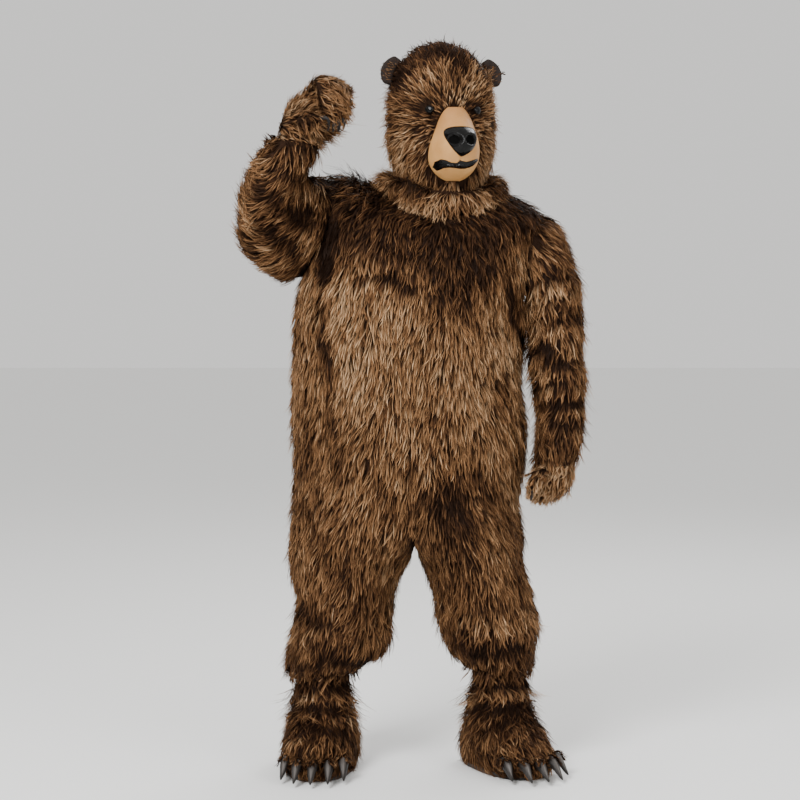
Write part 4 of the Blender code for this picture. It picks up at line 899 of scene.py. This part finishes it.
def mitt_look(at, normal):
    x, y, z = at.T
    left = x > 0
    shade = 0.64 + 0.1 * drift(at, 0.03, 51) - 0.22 * ease(x, 0.335, 0.365)
    shade += np.where(left, 0.15, -0.03) - 0.12 * ease(-0.72 - z, 0, 0.03)
    top = ease(z, 0.25, 0.28)
    parting = bell(z, 0.205, 0.022)
    height = 0.0095 + 0.001 * drift(at, 0.03, 52) - 0.004 * top + 0.004 * parting
    # The pile is long at the raised mitt's heel.
    heel = ease(0.235 - z, 0, 0.04) * ~left * (x > -0.345) * ease(y, -0.16, -0.12)
    # The pile is short round the raised mitt's claws, which show through it.
    bare = bell(distances(at, RAISED_CLAWS).min(1), 0, 0.024)
    length = (0.034 + 0.006 * parting + 0.018 * heel) * (1 - 0.6 * bare)
    height = (height + 0.008 * heel) * (1 - 0.65 * bare)
    return length, height, shade - 0.1 * bare, 2.2 + 0.6 * parting - 0.9 * bare


def raised_mitt_nap(at, normal):
    fingers, wrist = ease(at[:, 2:], 0.2, 0.25), 1 - ease(at[:, 2:], 0.16, 0.24)
    return path_nap(MITT_WAY[RIGHT])(at, normal) + (0.5, 0, 0.45) * fingers + (0.7, 0, -2.0) * wrist


for side, word, nap in ((RIGHT, "right", raised_mitt_nap), (LEFT, "left", path_nap(MITT_WAY[LEFT]))):
    for part, pile, flat, cut in (
        ("back", 0.0065, ((0.19, 0.32), (0.16, 0.24)), (0.046, 0.027)),
        ("palm", 0.0065, ((0.18, 0.3), (0.16, 0.25)), (0.039, 0.03)),
        ("thumb", 0.004, ((0.07, 0.07), (0.07, 0.07)), (0.0032, 0.0032)),
    ):
        node = f"mitt_{word}_{part}"
        cloth, points, shown = backing(node, node + "_backing", pile)
        seed = 400 + side
        fur = comb(node + "_fur", points, shown, nap, mitt_look, seed, 24000, 0.78, "light_fur")
        flat[side == LEFT]
        cut[side == LEFT]

# The claws: cast plastic, grey-brown and satin, with fine grooves along them and a paler point, a painted
# highlight along the top and painted shade down the sides and underneath.


def claw_finish(name, shine):
    wire, finish = new_finish(name, **{"IOR": 1.38, "Specular IOR Level": 0.5})
    where = wire.bake_map()
    along = where.axis(1)
    around = where.axis(0) * 1.25
    grooves = where.strands(44.0, 2.2, 3.0)
    off = around.add("Math", {"operation": "ABSOLUTE"}, {0: around - 0.5})
    # A pale line along the top of the claw: painted highlight, as strong as shine says.
    ridge_highlight = (1 - off * 13).spread(0, 1)
    # Darker down the sides and underneath: painted shade.
    edge = (off * 4).spread(0.35, 1.0)
    paler = along.spread(0.0, 1.0) * 0.5 + grooves * 0.5
    tone = paler.mixed((0.0085, 0.0065, 0.0055), (0.03, 0.024, 0.021))
    tone = (edge * 0.7).mixed(tone, (0.008, 0.0065, 0.0058))
    return finish({
        "Base Color": (ridge_highlight * shine).mixed(tone, (0.165, 0.147, 0.135)),
        "Roughness": 0.34 + 0.2 * grooves,
        "Normal": grooves.bump(0.0006),
    })


# The mitts' claws get a stronger painted highlight than the feet's; nothing else differs.
CLAW = {"foot": claw_finish("claw_cast_faint_highlight", 0.5), "mitt": claw_finish("claw_cast_strong_highlight", 1.7)}


def polished(node):
    """A claw, rounded, with a map whose first axis runs round it from behind and whose second runs along it."""
    at_root = 0.0022 if node.startswith("foot") else 0.0

    def claw_gain(places, ways):
        """Rounding a claw thins it, the most at a foot claw's root, and this gives that back."""
        return 0.0012 + at_root * ease(places[:, 2], *np.quantile(places[:, 2], (0.1, 0.9)))

    made = refined(node, node + "_cast", 2, CLAW[node[:4]], claw_gain)
    mesh = made.data
    places = read(mesh.vertices, "co")
    places = places - places.mean(0)
    axis = np.linalg.svd(places)[2][0]
    axis = -axis if axis[1] > 0 else axis
    reach = places @ axis
    along = (reach - reach.min()) / np.ptp(reach)
    up = unit(UP - axis * axis[2])
    around = np.arctan2(places @ np.cross(axis, up), places @ up) / (2 * math.pi) + 0.5
    corners = read(mesh.loops, "vertex_index", np.int32, 1)[:, 0]
    starts, sizes = (read(mesh.polygons, name, np.int32, 1)[:, 0] for name in ("loop_start", "loop_total"))
    turn = around[corners]
    # A face across the map's own seam keeps to one side of it.
    wraps = np.repeat(np.maximum.reduceat(turn, starts) - np.minimum.reduceat(turn, starts) > 0.5, sizes)
    turn = (turn + (wraps & (turn < 0.5))) * 0.8
    map_on(mesh, np.stack([turn, along[corners]], 1))


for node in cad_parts:
    if "claw" in node:
        polished(node)

# The feet: fur uppers on a rubber sole, shaggy, with the nap down the shaft and out over the toes.
ANKLE = {RIGHT: (-0.298, 0.01), LEFT: (0.167, 0.014)}


def foot_nap(side):
    middle = np.array((*ANKLE[side], 0.0))

    def nap(at, normal):
        away = at - middle
        away[:, 2] = -0.09
        return away

    return nap


def foot_look(at, normal):
    # dark is the creases' painted shade and highlight.
    depth, dark = folded(at, normal)
    shaft = ease(at[:, 2], -1.37, -1.27)
    shade = 0.4 + 0.13 * drift(at, 0.03, 61) - 0.04 * shaft - dark
    over = bell(distances(at, CLAW_ROOTS).min(1), 0, 0.026)
    height = np.maximum(0.012 + 0.002 * drift(at, 0.04, 62) + depth, 0.005) + 0.016 * over
    # The shaft bulges at its sides.
    bulge = ease(np.abs(normal[:, 0]), 0.3, 0.8) * bell(at[:, 2], -1.3, 0.045)
    length = 0.042 + 0.012 * over + 0.008 * bulge
    return length, height + 0.015 * bulge, shade, 2.0 + 0.8 * shaft + 1.2 * bulge


def claw_root(node):
    """The middle of a claw's upper end."""
    points = welded(node)[0]
    return points[points[:, 2] > points[:, 2].max() - 0.012].mean(0)


def root_patches(word):
    """The upper ends of a foot's claws as points and triangles, and their nap, towards the claws' tips."""
    parts, roots, ways = [], [], []
    for number in range(1, 6):
        node = f"foot_{word}_claw_{number}"
        own, faces = welded(node)
        root = claw_root(node)
        way = unit(own[own[:, 2].argmin()] - root)
        upper = (own[faces].mean(1) - root) @ way < 0.01
        open_side = unit(facings(own, faces)) @ (0, -0.6, 0.8) > -0.2
        parts.append((own + corner_normals(own, faces) * 0.004, faces[upper & open_side]))
        roots.append(root)
        ways.append(way)
    roots, ways = np.array(roots), np.array(ways)

    def nap(at, normal):
        return ways[distances(at, roots).argmin(1)]

    return *joined(parts), nap


def root_look(at, normal):
    level = 0 * at[:, 2]
    return 0.022 + level, 0.004 + level, 0.4 + 0.13 * drift(at, 0.02, 63), 1.8 + level


CLAW_ROOTS = np.array([claw_root(node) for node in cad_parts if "foot" in node and "claw" in node])

wire, finish = new_finish("sole_tread_rubber", Roughness=0.8)
place = wire.place()
dust = place.noise(35.0, 4.0).spread(0.35, 0.75)
tread = place.cells(90.0, "DISTANCE_TO_EDGE").spread(0.0, 0.12)
SOLE_RUBBER = finish({
    "Base Color": dust.mixed((0.016, 0.015, 0.014), (0.055, 0.05, 0.046)),
    "Normal": tread.bump(0.0015),
})
for side, word in ((RIGHT, "right"), (LEFT, "left")):
    cloth, points, shown = backing(f"foot_{word}_upper", f"foot_backing_{word}", SUIT_PILE)
    fur = comb(f"foot_fur_{word}", points, shown, foot_nap(side), foot_look, 500 + side, lead=0.018)
    points, triangles, nap = root_patches(word)
    comb(f"claw_root_fur_{word}", points, triangles, nap, root_look, 520 + side, density=40000, width=0.8)
    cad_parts[f"foot_{word}_sole"].data.materials[0] = SOLE_RUBBER

# The back zip: a closed coil zip on woven tape, sewn in behind the back's middle seam, where the pile
# hides it.
wire, finish = new_finish("woven_tape", Roughness=0.8)
place = wire.place()
weave = place.add("TexChecker", {}, {"Vector": place, "Scale": 900.0}, 1)
ZIP_TAPE = finish({
    "Base Color": weave.mixed((0.03, 0.018, 0.011), (0.055, 0.034, 0.022)),
    "Normal": weave.bump(0.0004),
})
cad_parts["back_zip"].data.materials[0] = ZIP_TAPE

wire, finish = new_finish("brown_coil_plastic")
worn = wire.add("TexNoise", {}, {"Scale": 200.0}).spread(0.3, 0.7)
COIL = finish({
    "Base Color": worn.mixed((0.045, 0.026, 0.015), (0.085, 0.052, 0.032)),
    "Roughness": 0.35 + 0.15 * worn,
})
BOX_SIDES = np.array(((0, 1, 3, 2), (4, 6, 7, 5), (0, 4, 5, 1), (2, 3, 7, 6), (0, 2, 6, 4), (1, 5, 7, 3)))
BOX_CORNERS = np.array([(x, y, z) for x in (-1, 1) for y in (-1, 1) for z in (-1, 1)])


def blocks(name, middles, sizes):
    """Small boxes in one mesh, on the inner face of the zip's tape."""
    points = np.array(middles)[:, None] + BOX_CORNERS * (np.array(sizes)[:, None] / 2)
    sides = np.arange(len(middles))[:, None, None] * 8 + BOX_SIDES
    made = new_mesh(name, points.reshape(-1, 3), sides.reshape(-1, 4), COIL, smooth=False)
    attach(made, "root")


TOOTH, PITCH, TAPE_END = (0.0046, 0.0018, 0.0015), 0.0025, 0.012
tape, faces = welded("back_zip")
# The tape bends a little to the side on its way up, and the teeth follow its middle.
ground, bend = skin(tape, faces), np.polyfit(tape[:, 2], tape[:, 0], 4)
teeth = []
for number, z in enumerate(np.arange(tape[:, 2].min() + TAPE_END, tape[:, 2].max() - TAPE_END, PITCH)):
    middle = float(np.polyval(bend, z))
    behind = ground.ray_cast(Vector((middle, -0.05, z)), Vector((0, 1, 0)))[0].y
    teeth.append(np.array((middle + 0.0012 * (-1) ** number, behind - 0.0006, z)))
blocks("zip_teeth", teeth, [TOOTH] * len(teeth))
top = teeth[-1] + (0, -0.0022, 0)
blocks("zip_slider", [top, top + (0, -0.0028, -0.018)], [(0.01, 0.004, 0.013), (0.005, 0.0012, 0.03)])

# The studio: a plain pale floor, a pale room round it, a broad soft light from the upper left and weaker
# ones from the right and behind, and a camera at waist height, five metres away.
bpy.ops.mesh.primitive_plane_add(size=60.0, location=(0, 0, cad_box[0][2]))
floor = bpy.context.object
floor.name = "floor"
wire, finish = new_finish("pale_floor", Roughness=0.6)
spots = wire.add("TexNoise", {}, {"Scale": 3.0})
floor.data.materials.append(finish({"Base Color": spots.mixed((0.87, 0.87, 0.86), (0.9, 0.9, 0.89))}))
floor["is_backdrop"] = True

world = bpy.data.worlds.new("studio")
bpy.context.scene.world = world
world.use_nodes = True
sky = world.node_tree.nodes["Background"].inputs
sky["Color"].default_value, sky["Strength"].default_value = (1.0, 0.99, 0.97, 1.0), 0.92

LIT = Vector((-0.02, 0, -0.5))      # what the lights point at
for name, place, size, power in (
    ("key_light", (-2.0, -3.6, 2.4), 1.8, 320),
    ("fill_light", (3.0, -3.0, 1.0), 2.4, 70),
    ("rim_light", (1.5, 3.0, 2.6), 2.0, 90),
):
    lamp = bpy.data.lights.new(name, "AREA")
    lamp.size, lamp.energy = size, power
    light = placed(name, lamp)
    light.location = place
    light.rotation_euler = (LIT - Vector(place)).to_track_quat("-Z", "Y").to_euler()

PIXELS, METRES_PER_PIXEL = 800, 0.0026      # the picture's width, and the scale where the suit stands
ORIGIN_AT = (436, 205)                      # the pixel that shows the origin
MIDDLE = METRES_PER_PIXEL * Vector((PIXELS / 2 - ORIGIN_AT[0], 0, ORIGIN_AT[1] - PIXELS / 2))
lens = bpy.data.cameras.new("camera")
camera = placed("camera", lens)
camera.location = EYE
away = MIDDLE - camera.location
lens.lens = lens.sensor_width * away.length / (PIXELS * METRES_PER_PIXEL)
camera.rotation_euler = away.to_track_quat("-Z", "Y").to_euler()
bpy.context.scene.camera = camera

[[list(map(float, corner)) for corner in box] for box in (cad_box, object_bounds())]
